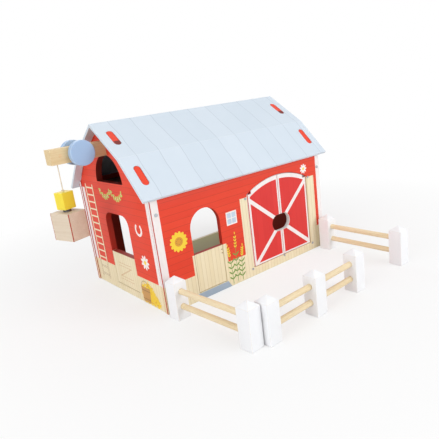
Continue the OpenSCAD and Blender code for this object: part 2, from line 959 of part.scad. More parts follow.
floor_board();
front_wall();
rear_wall();
pulley_gable();
far_gable();
floor_dowels();
loft_ledgers();
loft_floor();
roof_front_lower();
roof_front_upper();
roof_rear_upper();
roof_rear_lower();
corner_bolts();
barrel_nuts();
door_battens();
stop_block();
frame_screws();
door_pins();
frame_hinges();
barn_door_left();
barn_door_right();
stable_door();
stable_door_hinges();
pulley_half_door();
pulley_door_hinges();
far_half_door();
far_door_hinges();
pulley_beam();
beam_peg();
guide_pin();
winch_axle();
winch_wheel_front();
winch_wheel_rear();
cord_winding();
cord_run();
hoist_cord();
magnet_block();
magnet();
hay_bale();
bale_plate();
left_fence_posts();
left_fence_rails();
front_fence_posts();
front_fence_rails();
right_fence_posts();
right_fence_rails();
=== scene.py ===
import json
import math
import random

import bmesh
import bpy
from mathutils import Matrix, Vector

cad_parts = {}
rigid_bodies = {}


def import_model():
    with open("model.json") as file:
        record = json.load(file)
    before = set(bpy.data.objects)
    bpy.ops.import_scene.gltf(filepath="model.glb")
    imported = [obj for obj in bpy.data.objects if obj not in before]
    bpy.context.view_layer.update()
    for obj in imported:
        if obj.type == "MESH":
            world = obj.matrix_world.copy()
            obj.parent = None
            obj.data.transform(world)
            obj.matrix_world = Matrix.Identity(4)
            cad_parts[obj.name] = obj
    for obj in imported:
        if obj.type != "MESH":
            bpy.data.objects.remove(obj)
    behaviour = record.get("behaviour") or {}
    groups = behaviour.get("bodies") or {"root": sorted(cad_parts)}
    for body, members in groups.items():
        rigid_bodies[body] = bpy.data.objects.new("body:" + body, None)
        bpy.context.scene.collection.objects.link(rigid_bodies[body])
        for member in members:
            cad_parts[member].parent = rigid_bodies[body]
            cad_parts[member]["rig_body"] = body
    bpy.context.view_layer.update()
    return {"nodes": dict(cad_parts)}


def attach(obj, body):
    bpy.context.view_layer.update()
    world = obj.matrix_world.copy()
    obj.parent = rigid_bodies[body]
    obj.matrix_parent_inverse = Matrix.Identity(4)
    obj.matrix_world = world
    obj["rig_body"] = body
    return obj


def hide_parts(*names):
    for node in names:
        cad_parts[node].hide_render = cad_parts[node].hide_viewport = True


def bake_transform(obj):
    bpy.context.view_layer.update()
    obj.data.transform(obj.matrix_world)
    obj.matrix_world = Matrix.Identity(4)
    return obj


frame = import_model()
scene = bpy.context.scene
MM = 0.001

# The picture: a pale studio floor that fades into a white background, soft lamps at a plain level, and
# a camera that looks at the barn's left front corner from a little above, as the photograph does.
CAMERA_AT = Vector((-0.5659, -0.7941, 0.3607))
CAMERA_FORWARD = Vector((0.5805, 0.7697, -0.2658)).normalized()
CAMERA_RIGHT = Vector((0.7707, -0.6247, -0.1257)).normalized()
CAMERA_ANGLE = math.radians(50.56)

lens = bpy.data.cameras.new("camera")
lens.sensor_fit = "HORIZONTAL"
lens.angle = CAMERA_ANGLE
lens.clip_start = 0.01
camera_up = CAMERA_RIGHT.cross(CAMERA_FORWARD).normalized()
camera = bpy.data.objects.new("camera", lens)
camera.matrix_world = Matrix((
    (CAMERA_RIGHT.x, camera_up.x, -CAMERA_FORWARD.x, CAMERA_AT.x),
    (CAMERA_RIGHT.y, camera_up.y, -CAMERA_FORWARD.y, CAMERA_AT.y),
    (CAMERA_RIGHT.z, camera_up.z, -CAMERA_FORWARD.z, CAMERA_AT.z),
    (0, 0, 0, 1),
))
scene.collection.objects.link(camera)
scene.camera = camera
scene.view_settings.view_transform = "Standard"


def lamp(name, place, aim, size, watts, tint=(1, 1, 1)):
    """A square soft lamp at place that points at aim."""
    light = bpy.data.lights.new(name, "AREA")
    light.size = size
    light.energy = watts
    light.color = tint
    holder = bpy.data.objects.new(name, light)
    holder.location = place
    holder.rotation_euler = (Vector(aim) - Vector(place)).to_track_quat("-Z", "Y").to_euler()
    scene.collection.objects.link(holder)


MIDDLE = (0, -0.05, 0.12)
lamp("sky_lamp", (-0.2, -0.4, 1.9), MIDDLE, 1.8, 8)
lamp("front_lamp", (0.9, -2.0, 0.9), MIDDLE, 1.3, 19)
lamp("side_lamp", (-2.0, -0.5, 0.8), MIDDLE, 1.3, 15)
lamp("rear_lamp", (0.8, 2.0, 1.2), MIDDLE, 1.5, 9)


def wire(tree, kind, inputs=None, **settings):
    """A node of that kind, with its settings made and its inputs linked or set."""
    node = tree.nodes.new(kind)
    for key, value in settings.items():
        setattr(node, key, value)
    for key, value in (inputs or {}).items():
        if isinstance(value, bpy.types.NodeSocket):
            tree.links.new(value, node.inputs[key])
        else:
            node.inputs[key].default_value = value
    return node


AMBIENT = 0.54
world = bpy.data.worlds.new("white_studio")
world.use_nodes = True
scene.world = world
sky = world.node_tree
rays = wire(sky, "ShaderNodeLightPath")
seen = wire(sky, "ShaderNodeMath", {0: rays.outputs["Is Camera Ray"], 1: rays.outputs["Is Glossy Ray"]},
            operation="MAXIMUM")
strength = wire(sky, "ShaderNodeMapRange", {"Value": seen.outputs[0], "To Min": AMBIENT, "To Max": 1.0})
sky.nodes["Background"].inputs["Color"].default_value = (1, 1, 1, 1)
sky.links.new(strength.outputs[0], sky.nodes["Background"].inputs["Strength"])

FLOOR_REACH = 3.0
FLOOR_DROP = 0.0004
FADE_START = 0.35
FADE_END = 0.85
FADE_LEAST = 0.62
floor_mesh = bpy.data.meshes.new("studio_floor")
floor_corners = [(x * FLOOR_REACH, y * FLOOR_REACH, -FLOOR_DROP)
                 for x, y in ((-1, -1), (1, -1), (1, 1), (-1, 1))]
floor_mesh.from_pydata(floor_corners, [], [(0, 1, 2, 3)])
studio_floor = bpy.data.objects.new("studio_floor", floor_mesh)
scene.collection.objects.link(studio_floor)
floor_finish = bpy.data.materials.new("studio_floor")
floor_finish.use_nodes = True
paper = floor_finish.node_tree
paper.nodes.clear()
spot = wire(paper, "ShaderNodeTexCoord")
far = wire(paper, "ShaderNodeVectorMath", {0: spot.outputs["Object"]}, operation="LENGTH")
fade = wire(paper, "ShaderNodeMapRange", {"Value": far.outputs["Value"], "From Min": FADE_START,
                                          "From Max": FADE_END, "To Min": FADE_LEAST, "To Max": 1.0})
ray = wire(paper, "ShaderNodeLightPath")
share = wire(paper, "ShaderNodeMath", {0: fade.outputs[0], 1: ray.outputs["Is Camera Ray"]},
             operation="MULTIPLY")
shaded = wire(paper, "ShaderNodeBsdfDiffuse", {"Color": (0.86, 0.86, 0.86, 1)})
lit = wire(paper, "ShaderNodeEmission", {"Color": (1, 1, 1, 1), "Strength": 1.0})
blended = wire(paper, "ShaderNodeMixShader", {0: share.outputs[0], 1: shaded.outputs[0], 2: lit.outputs[0]})
wire(paper, "ShaderNodeOutputMaterial", {"Surface": blended.outputs[0]})
floor_mesh.materials.append(floor_finish)

# Floor board: one 9 mm board that the four walls stand round, painted olive green on top and held to the
# walls by beech dowels. Every board of the barn has its arrises eased, and its paint is thin there.


def ink(code):
    """A written colour, such as #E8432B, as the linear colour that a shader takes."""
    parts = [int(code[at:at + 2], 16) / 255 for at in (1, 3, 5)]
    return tuple(((v + 0.055) / 1.055) ** 2.4 if v > 0.04045 else v / 12.92 for v in parts) + (1.0,)


LINE_BLUR = 0.2
WAVE = (60, 60, 60)
SPECK = (3, 3, 3)
WORN_FROM = 0.58
WORN_FULL = 0.68
WORN_MOST = 0.7


class Finish:
    """A material under construction. All its lengths are millimetres in the barn's frame."""

    def __init__(self, name, metallic=0.0, gloss=0.3, centre=(0, 0, 0), turn=0.0):
        self.material = bpy.data.materials.new(name)
        self.material.use_nodes = True
        self.tree = self.material.node_tree
        self.shader = self.tree.nodes["Principled BSDF"]
        self.shader.inputs["Metallic"].default_value = metallic
        self.shader.inputs["Specular IOR Level"].default_value = gloss
        held = wire(self.tree, "ShaderNodeTexCoord").outputs["Object"]
        scaled = self.vector("SCALE", {0: held, "Scale": 1 / MM})
        moved = self.vector("SUBTRACT", {0: scaled, 1: centre})
        turned = {"Vector": moved, "Angle": -math.radians(turn)}
        self.place = wire(self.tree, "ShaderNodeVectorRotate", turned, rotation_type="Z_AXIS").outputs[0]
        self.x, self.y, self.z = wire(self.tree, "ShaderNodeSeparateXYZ", {0: self.place}).outputs

    def vector(self, operation, inputs):
        return wire(self.tree, "ShaderNodeVectorMath", inputs, operation=operation).outputs[0]

    def math(self, operation, *values):
        return wire(self.tree, "ShaderNodeMath", dict(enumerate(values)), operation=operation).outputs[0]

    def above(self, value, edge):
        return self.math("GREATER_THAN", value, edge)

    def below(self, value, edge):
        return self.math("LESS_THAN", value, edge)

    def between(self, value, low, high):
        return self.both(self.above(value, low), self.below(value, high))

    def both(self, *masks):
        result = masks[0]
        for mask in masks[1:]:
            result = self.math("MULTIPLY", result, mask)
        return result

    def either(self, *masks):
        result = masks[0]
        for mask in masks[1:]:
            result = self.math("MAXIMUM", result, mask)
        return result

    def size(self, value):
        return self.math("ABSOLUTE", value)

    def scale(self, value, factor, shift=0.0):
        return self.math("MULTIPLY_ADD", value, factor, shift)

    def off_line(self, u, v, start, end):
        """Distance from the endless line through two points."""
        du, dv = end[0] - start[0], end[1] - start[1]
        length = math.hypot(du, dv)
        across = self.scale(u, dv / length, -start[0] * dv / length)
        along = self.scale(v, du / length, -start[1] * du / length)
        return self.size(self.math("SUBTRACT", across, along))

    def off_point(self, u, v, middle):
        """Distance from a point."""
        du = self.math("SUBTRACT", u, middle[0])
        dv = self.math("SUBTRACT", v, middle[1])
        squares = self.math("ADD", self.math("MULTIPLY", du, du), self.math("MULTIPLY", dv, dv))
        return self.math("SQRT", squares)

    def noise(self, lump, detail=2.0):
        """Noise from 0 to 1 whose lumps have these sizes along X, Y and Z."""
        spaced = self.vector("DIVIDE", {0: self.place, 1: lump})
        inputs = {"Vector": spaced, "Scale": 1.0, "Detail": detail}
        return wire(self.tree, "ShaderNodeTexNoise", inputs).outputs[0]

    def waver(self, value, reach):
        """The same coordinate, pushed to and fro by up to half of reach."""
        return self.math("ADD", value, self.scale(self.noise(WAVE), reach, -reach / 2))

    def soft_line(self, distance, width):
        """1 on a line of this width and 0 beside it."""
        inputs = {"Value": distance, "From Min": width / 2 + LINE_BLUR, "From Max": width / 2 - LINE_BLUR}
        return wire(self.tree, "ShaderNodeMapRange", inputs).outputs[0]

    def lines(self, value, pitch, width):
        """Thin lines across value, one for each pitch."""
        return self.soft_line(self.math("PINGPONG", value, pitch / 2), width)

    def each(self, value, pitch):
        """A number from 0 to 1 of its own for each pitch of value."""
        index = self.math("FLOOR", self.scale(value, 1 / pitch))
        chance = wire(self.tree, "ShaderNodeTexWhiteNoise", {"W": index}, noise_dimensions="1D")
        return chance.outputs["Value"]

    def specks(self):
        """Small spots where paint has worn through, as a share from 0 to WORN_MOST."""
        inputs = {"Value": self.noise(SPECK, 4), "From Min": WORN_FROM, "From Max": WORN_FULL,
                  "To Max": WORN_MOST}
        return wire(self.tree, "ShaderNodeMapRange", inputs).outputs[0]

    def mix(self, share, first, second):
        return wire(self.tree, "ShaderNodeMix", {0: share, 6: first, 7: second}, data_type="RGBA").outputs[2]

    def relief(self, height, depth):
        """Bump of this depth in millimetres."""
        node = wire(self.tree, "ShaderNodeBump", {"Height": height, "Strength": 1.0, "Distance": depth * MM})
        self.tree.links.new(node.outputs[0], self.shader.inputs["Normal"])

    def done(self, colour, roughness):
        self.tree.links.new(colour, self.shader.inputs["Base Color"])
        self.tree.links.new(roughness, self.shader.inputs["Roughness"])
        return self.material


DRIFT = (45, 45, 45)
STIPPLE = (0.9, 0.9, 0.9)
STIPPLE_DEPTH = 0.035


def painted(finish, colour, shade, mottle=0.5):
    """Rolled paint: the colour drifts a little towards its shade over a few centimetres."""
    drift = finish.scale(finish.noise(DRIFT, 3), mottle)
    return finish.mix(drift, ink(colour), ink(shade))


def rolled(finish, roughness=0.45):
    """The stipple of a paint roller, as roughness and a very low relief."""
    stipple = finish.noise(STIPPLE, 2)
    finish.relief(stipple, STIPPLE_DEPTH)
    return finish.scale(stipple, 0.16, roughness - 0.08)


def plain_paint(name, colour, shade, roughness=0.45):
    """A coat of one colour."""
    finish = Finish(name)
    return finish.done(painted(finish, colour, shade), rolled(finish, roughness))


BOARD = "#DCC196"


def thin_paint(name, colour, board=BOARD):
    """The coat on an eased arris, which lets specks of the board show."""
    finish = Finish(name)
    return finish.done(finish.mix(finish.specks(), ink(colour), ink(board)), rolled(finish, 0.5))


STREAK = {"x": (70, 1.6, 1.6), "y": (1.6, 70, 1.6), "z": (1.6, 1.6, 70)}
BAND = {"x": (160, 11, 11), "y": (11, 160, 11), "z": (11, 11, 160)}
PORE = {"x": (9, 0.45, 0.45), "y": (0.45, 9, 0.45), "z": (0.45, 0.45, 9)}
PORE_FROM = 0.66
PORE_FULL = 0.74
PORE_MOST = 0.5
GRAIN_DEPTH = 0.05
PORE_BROWN = "#C5A673"


def grained(finish, along, pale, dark):
    """Planed wood with its grain along one axis: fine streaks in broader bands, and short pores."""
    fine = finish.noise(STREAK[along], 5)
    broad = finish.noise(BAND[along], 2)
    pores = wire(finish.tree, "ShaderNodeMapRange", {
        "Value": finish.noise(PORE[along], 1), "From Min": PORE_FROM, "From Max": PORE_FULL,
        "To Max": PORE_MOST}).outputs[0]
    streaks = finish.math("ADD", finish.scale(fine, 1.1), finish.scale(broad, 0.8, -0.5))
    height = finish.math("SUBTRACT", fine, pores)
    finish.relief(height, GRAIN_DEPTH)
    colour = finish.mix(streaks, ink(pale), ink(dark))
    return finish.mix(pores, colour, ink(PORE_BROWN)), finish.scale(fine, 0.25, 0.42)


def bare_wood(name, along, pale="#F1E2C2", dark="#DDC394"):
    """A piece left as bare wood."""
    finish = Finish(name)
    return finish.done(*grained(finish, along, pale, dark))


def soften(mesh, corner=32):
    """Smooth shading, except at edges that turn by more than corner degrees."""
    shape = bmesh.new()
    shape.from_mesh(mesh)
    for face in shape.faces:
        face.smooth = True
    for edge in shape.edges:
        edge.smooth = len(edge.link_faces) == 2 and edge.calc_face_angle(0) < math.radians(corner)
    shape.to_mesh(mesh)
    shape.free()


def set_solid(piece):
    """Turns what a piece's modifiers make into its plain mesh, with round faces smooth and corners sharp."""
    bpy.context.view_layer.update()
    made = bpy.data.meshes.new_from_object(piece.evaluated_get(bpy.context.evaluated_depsgraph_get()))
    piece.modifiers.clear()
    piece.data = made
    soften(made)
    return piece


MERGE_WITHIN = 1e-6
FLAT_WITHIN = math.radians(0.5)
SHARP_FROM = math.radians(35)


def eased(node, ease=0.4):
    """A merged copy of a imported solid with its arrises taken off, which get the second material."""
    shape = bmesh.new()
    shape.from_mesh(frame["nodes"][node].data)
    bmesh.ops.remove_doubles(shape, verts=shape.verts, dist=MERGE_WITHIN)
    bmesh.ops.dissolve_limit(shape, angle_limit=FLAT_WITHIN, verts=shape.verts, edges=shape.edges)
    merged = bpy.data.meshes.new(node)
    shape.to_mesh(merged)
    shape.free()
    plain = bpy.data.meshes.new(node)
    plain.from_pydata([v.co[:] for v in merged.vertices], [], [p.vertices[:] for p in merged.polygons])
    plain.materials.append(None)
    plain.materials.append(None)
    piece = bpy.data.objects.new(node + "_piece", plain)
    scene.collection.objects.link(piece)
    plane = piece.modifiers.new("arris", "BEVEL")
    plane.width = ease * MM
    plane.segments = 1
    plane.limit_method = "ANGLE"
    plane.angle_limit = SHARP_FROM
    plane.material = 1
    return set_solid(piece)


def join_body(piece, node):
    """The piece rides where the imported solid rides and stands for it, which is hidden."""
    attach(piece, frame["nodes"][node]["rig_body"])
    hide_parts(node)


def dress(node, face, arris, ease=0.4):
    """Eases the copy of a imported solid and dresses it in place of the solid."""
    piece = eased(node, ease)
    piece.data.materials[0] = face
    piece.data.materials[1] = arris
    join_body(piece, node)


olive = plain_paint("olive_floor_paint", "#AFA24A", "#97913F", 0.5)
dress("floor_board", olive, thin_paint("olive_arris", "#8F8C46"))
beech = bare_wood("beech", "x", "#E9CFA4", "#CFA873")
dress("floor_dowels", beech, beech, 0.2)

# Long walls: 9 mm boards cut out for the doors, painted red and printed on the outside with red planking,
# a plinth and door posts of pale timber, and white corner boards. The rear one has open doorways.
WALL_RED = "#E8462A"
WALL_SHADE = "#DD3B24"
LINE_RED = "#BF3722"
# The inside faces are red like the outside, painted darker as painted shade for the dim inside.
SHADED_INSIDE_RED = "#B5362A"
INSIDE_SHADE = "#A32D24"
# The jambs of openings are painted a darker red than the wall, as painted shade.
SHADED_JAMB_RED = "#C8392A"
JAMB_SHADE = "#BA3025"
END_RED = "#B9352A"
TIMBER = "#F2E6C8"
TIMBER_SHADE = "#E9DAB2"
TIMBER_LINE = "#CFBB8C"
TRIM_WHITE = "#F6F1EF"
TRIM_SHADE = "#ECE4E3"
STEP_BLUE = "#A3B3C4"
PLANK = 12.2
PLANK_WAVER = 1.6
STAVE = 8.5
JOINT_LINE = 0.7
LYING_GRAIN = (50, 50, 2.5)
UPRIGHT_GRAIN = (2.5, 2.5, 50)
TRIM_DRIFT = (12, 12, 60)
WALL_OUT = 141.6
WALL_IN = 133.4
WALL_END = 209.5
END_PALE_TO = 138
PLINTH_TOP = 50
PLINTH_GAP = (-20.5, 168)
SILL_TOP = 17
SILL_START = -21
LEFT_POST = (-21.5, -2)
LEFT_POST_TOP = 160.5
RIGHT_POST = (166, 189.5)
RIGHT_POST_TOP = 162.5
STABLE_SIDES = (-144, -66)
STABLE_LEAF_TOP = 87
DOOR_SIDES = (-5, 169)
DOOR_SIDE_TOP = 164
CORNER_MIDDLE = 1
CORNER_FROM = 197.5
# A grey-blue step is printed below the stable door, and its two ends lean.
STEP_TOP = 13
STEP_FEET = (-129, -64)
STEP_LEANS = (1.13, 0.6)


def printed_planks(finish, across, colour, shade, line, pitch, lump, waver=0.0):
    """Boards printed side by side: each has a tone of its own, faint grain and a dark joint."""
    level = finish.waver(across, waver) if waver else across
    own_tone = finish.scale(finish.each(level, pitch), 0.45)
    tone = finish.math("ADD", own_tone, finish.scale(finish.noise(lump, 4), 0.5))
    board = finish.mix(tone, ink(colour), ink(shade))
    return finish.mix(finish.scale(finish.lines(level, pitch, JOINT_LINE), 0.8), board, ink(line))


def printed_red(finish, level):
    return printed_planks(finish, level, WALL_RED, WALL_SHADE, LINE_RED, PLANK, LYING_GRAIN, PLANK_WAVER)


def printed_timber(finish, across):
    return printed_planks(finish, across, TIMBER, TIMBER_SHADE, TIMBER_LINE, STAVE, UPRIGHT_GRAIN)


def printed_white(finish):
    return finish.mix(finish.noise(TRIM_DRIFT, 3), ink(TRIM_WHITE), ink(TRIM_SHADE))


def long_wall_finish(name, worn=False):
    """Outside, edges and inside of a long wall, with darker reds on the jambs and the inside as painted
    shade; the worn one is for its arrises.
    """
    wall = Finish(name)
    depth = wall.size(wall.y)
    beside_door = wall.either(wall.below(wall.x, PLINTH_GAP[0]), wall.above(wall.x, PLINTH_GAP[1]))
    plinth = wall.both(wall.below(wall.z, PLINTH_TOP), beside_door)
    sill_strip = wall.both(wall.below(wall.z, SILL_TOP), wall.above(wall.x, SILL_START))
    left_post = wall.both(wall.between(wall.x, *LEFT_POST), wall.below(wall.z, LEFT_POST_TOP))
    right_post = wall.both(wall.between(wall.x, *RIGHT_POST), wall.below(wall.z, RIGHT_POST_TOP))
    stable_side = wall.both(wall.between(wall.x, *STABLE_SIDES), wall.below(wall.z, STABLE_LEAF_TOP))
    door_side = wall.both(wall.between(wall.x, *DOOR_SIDES), wall.below(wall.z, DOOR_SIDE_TOP))
    timber_mask = wall.either(plinth, sill_strip, left_post, right_post, stable_side)
    off_centre = wall.size(wall.math("SUBTRACT", wall.x, CORNER_MIDDLE))
    corner_mask = wall.both(wall.above(off_centre, CORNER_FROM), wall.above(wall.z, PLINTH_TOP))
    step_left = wall.math("ADD", wall.x, wall.scale(wall.z, STEP_LEANS[0]))
    step_right = wall.math("ADD", wall.x, wall.scale(wall.z, STEP_LEANS[1]))
    step_mask = wall.both(wall.above(step_left, STEP_FEET[0]), wall.below(step_right, STEP_FEET[1]),
                          wall.below(wall.z, STEP_TOP))
    outside = wall.mix(timber_mask, printed_red(wall, wall.z), printed_timber(wall, wall.x))
    outside = wall.mix(corner_mask, outside, printed_white(wall))
    outside = wall.mix(step_mask, outside, ink(STEP_BLUE))
    # Painted shade: the jambs of the openings are a darker red.
    shaded_jamb_red = painted(wall, SHADED_JAMB_RED, JAMB_SHADE)
    jamb = wall.mix(wall.either(stable_side, door_side), shaded_jamb_red, ink(TIMBER_SHADE))
    pale_end = wall.mix(wall.above(wall.z, PLINTH_TOP), ink(TIMBER_SHADE), printed_white(wall))
    wall_end = wall.mix(wall.above(depth, END_PALE_TO), pale_end, ink(END_RED))
    edges = wall.mix(wall.above(wall.size(wall.x), WALL_END), jamb, wall_end)
    # Painted shade: the inside faces take the darker inside red.
    within = wall.mix(wall.below(depth, WALL_IN), edges, painted(wall, SHADED_INSIDE_RED, INSIDE_SHADE))
    colour = wall.mix(wall.above(depth, WALL_OUT), within, outside)
    if worn:
        colour = wall.mix(wall.specks(), colour, ink(BOARD))
    return wall.done(colour, rolled(wall))


printed_wall = long_wall_finish("printed_long_wall")
wall_arris = long_wall_finish("worn_long_wall", worn=True)
dress("front_wall", printed_wall, wall_arris)
dress("rear_wall", printed_wall, wall_arris)

# Gables: 12 mm boards that stand between the long walls, with a doorway below and a round-headed opening
# above. They are printed to match, and their rounded tabs come up through the slots in the roof.
GABLE_OUT = 208.1
GABLE_IN = 196.9
GABLE_CORNER = 122
GABLE_CORNER_TOP = 206
GATE_HALF = 47
GATE_TOP = 170
GATE_LEAF_TOP = 82
LOFT_HALF = 60
LOFT_SPAN = (215, 300)
# The loft opening's jambs are painted near-black red: a painted shadow inside the opening.
LOFT_SHADOW_RED = "#7C2820"
LOFT_SHADE = "#6B211B"


def gable_finish(name, worn=False):
    """Outside, edges and inside of a gable; the loft opening's edge is the darkest red, a painted shadow, and
    the doorway's jambs and the inside are darker reds for painted shade.
    """
    end = Finish(name)
    depth = end.size(end.x)
    side = end.size(end.y)
    corner_mask = end.both(end.above(side, GABLE_CORNER), end.between(end.z, PLINTH_TOP, GABLE_CORNER_TOP))
    outside = end.mix(end.below(end.z, PLINTH_TOP), printed_red(end, end.z), printed_timber(end, end.y))
    outside = end.mix(corner_mask, outside, printed_white(end))
    doorway = end.both(end.below(side, GATE_HALF + 2), end.below(end.z, GATE_TOP))
    low_jamb = end.both(doorway, end.below(end.z, GATE_LEAF_TOP))
    # Painted shade: the doorway's jambs are a darker red.
    edges = end.mix(doorway, painted(end, WALL_RED, WALL_SHADE), painted(end, SHADED_JAMB_RED, JAMB_SHADE))
    edges = end.mix(low_jamb, edges, ink(TIMBER_SHADE))
    # Painted shadow: the loft opening's jambs take the darkest red.
    loft_jamb_shadow = end.both(end.below(side, LOFT_HALF), end.between(end.z, *LOFT_SPAN))
    edges = end.mix(loft_jamb_shadow, edges, painted(end, LOFT_SHADOW_RED, LOFT_SHADE))
    # Painted shade: the gable's inside faces take the darker inside red.
    within = end.mix(end.below(depth, GABLE_IN), edges, painted(end, SHADED_INSIDE_RED, INSIDE_SHADE))
    colour = end.mix(end.above(depth, GABLE_OUT), within, outside)
    if worn:
        colour = end.mix(end.specks(), colour, ink(BOARD))
    return end.done(colour, rolled(end))


printed_gable = gable_finish("printed_gable")
gable_arris = gable_finish("worn_gable", worn=True)
dress("pulley_gable", printed_gable, gable_arris)
dress("far_gable", printed_gable, gable_arris)

# Loft: two square ledgers, glued along the long walls, carry a 9 mm floor. The ledgers are left as bare wood,
# and the floor is painted brown.
ledger_wood = bare_wood("ledger_wood", "x")
dress("loft_ledgers", ledger_wood, ledger_wood)
loft_brown = plain_paint("loft_paint", "#6E5648", "#5F4A3E", 0.5)
dress("loft_floor", loft_brown, thin_paint("loft_arris", "#6A5244"))

# Roof: four 5 mm boards, mitred along the ridge and the bends, painted pale blue and printed with grey
# seams from ridge to eave. The oval slots in them take the gables' tabs.
ROOF_BLUE = "#D4DEE8"
ROOF_SHADE = "#CAD6E1"
SEAM_GREY = "#A9B5C1"
SEAM_STEP = 44.4
SEAM_START = -189.8
SEAM_LINE = 0.9
SEAM_WAVER = 8.0
roof = Finish("seamed_roof")
from_seam = roof.waver(roof.math("SUBTRACT", roof.x, SEAM_START), SEAM_WAVER)
sheet_tone = roof.scale(roof.each(from_seam, SEAM_STEP), 0.4)
tone = roof.math("ADD", sheet_tone, roof.scale(roof.noise(DRIFT, 3), 0.6))
blue = roof.mix(tone, ink(ROOF_BLUE), ink(ROOF_SHADE))
seams = roof.scale(roof.lines(from_seam, SEAM_STEP, SEAM_LINE), 0.75)
seamed = roof.done(roof.mix(seams, blue, ink(SEAM_GREY)), rolled(roof, 0.48))
blue_arris = thin_paint("blue_arris", "#E3E9EF", "#E6DCC8")
for node in ("roof_front_lower", "roof_front_upper", "roof_rear_upper", "roof_rear_lower"):
    dress(node, seamed, blue_arris)

# Corner bolts: furniture bolts with hexagon sockets go through the long walls into barrel nuts that lie
# in the gables. Both are zinc plated.
BLOOM = (4, 4, 4)
BRUSH = (0.3, 0.3, 3)
BRUSH_DEPTH = 0.012


def plated(name, colour, shade, roughness):
    """Zinc or steel with a faint cloudy bloom and fine brush marks."""
    finish = Finish(name, metallic=1.0, gloss=0.5)
    bloom = finish.noise(BLOOM, 4)
    finish.relief(finish.noise(BRUSH), BRUSH_DEPTH)
    return finish.done(finish.mix(bloom, ink(colour), ink(shade)), finish.scale(bloom, 0.25, roughness))


zinc = plated("zinc_plate", "#C9CDD1", "#A9AEB4", 0.28)
dress("corner_bolts", zinc, zinc, 0.2)
dress("barrel_nuts", zinc, zinc, 0.2)

# Double door frame: beech battens inside the front wall hold the four steel pins that the leaves turn on,
# and a block on the floor stops them flush. Five cross-head screws hold battens and block.
batten_wood = bare_wood("batten_wood", "z")
dress("door_battens", batten_wood, batten_wood)
dress("stop_block", batten_wood, batten_wood)
dress("door_pins", zinc, zinc, 0.15)


def new_tree(name, inputs):
    """An empty Geometry Nodes tree with these named inputs, and its input node."""
    tree = bpy.data.node_groups.new(name, "GeometryNodeTree")
    tree.interface.new_socket("Geometry", in_out="INPUT", socket_type="NodeSocketGeometry")
    for label, kind in inputs.items():
        tree.interface.new_socket(label, in_out="INPUT", socket_type="NodeSocket" + kind)
    tree.interface.new_socket("Geometry", in_out="OUTPUT", socket_type="NodeSocketGeometry")
    return tree, wire(tree, "NodeGroupInput").outputs


def close_tree(tree, geometry, finish):
    """Ends a tree in real geometry that carries its material."""
    real = wire(tree, "GeometryNodeRealizeInstances", {"Geometry": geometry}).outputs[0]
    coated = wire(tree, "GeometryNodeSetMaterial", {"Geometry": real, "Material": finish}).outputs[0]
    wire(tree, "NodeGroupOutput", {"Geometry": coated})


def grow(name, mesh, tree, values):
    """Runs a tree on a mesh of points or of a path, and returns what it makes as a plain mesh."""
    holder = bpy.data.objects.new(name, mesh)
    scene.collection.objects.link(holder)
    modifier = holder.modifiers.new("copies", "NODES")
    modifier.node_group = tree
    for socket in tree.interface.items_tree:
        if socket.in_out == "INPUT" and socket.name in values:
            modifier[socket.identifier] = values[socket.name]
    set_solid(holder)
    made = holder.data
    bpy.data.objects.remove(holder)
    return made


def as_piece(name, mesh, body):
    """A piece of this mesh that rides on a body."""
    piece = bpy.data.objects.new(name, mesh)
    scene.collection.objects.link(piece)
    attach(piece, body)
    return piece


HEAD_SIDES = 24
SHANK_SIDES = 12
CROSS_LONG = 1.2
CROSS_WIDE = 0.26
SCREWS, screw_in = new_tree("cross_head_screws", {
    "Head Radius": "Float", "Head Height": "Float", "Shank Radius": "Float", "Shank Length": "Float",
    "Turn": "Rotation", "Finish": "Material"})


def screw_share(value, factor):
    """A length of the screw times a factor."""
    return wire(SCREWS, "ShaderNodeMath", {0: value, 1: factor}, operation="MULTIPLY").outputs[0]


def screw_vector(**parts):
    """A size or a shift along the screw's axes."""
    return wire(SCREWS, "ShaderNodeCombineXYZ", parts).outputs[0]


def screw_shifted(geometry, shift):
    """The same geometry, moved."""
    return wire(SCREWS, "GeometryNodeTransform", {"Geometry": geometry, "Translation": shift}).outputs[0]


disc = wire(SCREWS, "GeometryNodeMeshCylinder", {"Vertices": HEAD_SIDES, "Radius": screw_in["Head Radius"],
                                                 "Depth": screw_in["Head Height"]}).outputs["Mesh"]
raised = screw_shifted(disc, screw_vector(Z=screw_share(screw_in["Head Height"], 0.5)))
slot_long = screw_share(screw_in["Head Radius"], CROSS_LONG)
slot_wide = screw_share(screw_in["Head Radius"], CROSS_WIDE)
for across, along in ((slot_long, slot_wide), (slot_wide, slot_long)):
    bar_size = screw_vector(X=across, Y=along, Z=screw_in["Head Height"])
    bar = wire(SCREWS, "GeometryNodeMeshCube", {"Size": bar_size}).outputs["Mesh"]
    placed = screw_shifted(bar, screw_vector(Z=screw_in["Head Height"]))
    raised = wire(SCREWS, "GeometryNodeMeshBoolean", {"Mesh 1": raised, "Mesh 2": placed},
                  operation="DIFFERENCE").outputs["Mesh"]
rod = wire(SCREWS, "GeometryNodeMeshCylinder", {"Vertices": SHANK_SIDES, "Radius": screw_in["Shank Radius"],
                                                "Depth": screw_in["Shank Length"]}).outputs["Mesh"]
shank = screw_shifted(rod, screw_vector(Z=screw_share(screw_in["Shank Length"], -0.5)))
screw = wire(SCREWS, "GeometryNodeJoinGeometry")
SCREWS.links.new(raised, screw.inputs[0])
SCREWS.links.new(shank, screw.inputs[0])
copies = wire(SCREWS, "GeometryNodeInstanceOnPoints", {
    "Points": screw_in["Geometry"], "Instance": screw.outputs[0], "Rotation": screw_in["Turn"]}).outputs[0]
close_tree(SCREWS, copies, screw_in["Finish"])
QUARTER = math.pi / 2
FACING = {"-y": (QUARTER, 0, 0), "+y": (-QUARTER, 0, 0), "+x": (0, QUARTER, 0), "-x": (0, -QUARTER, 0)}


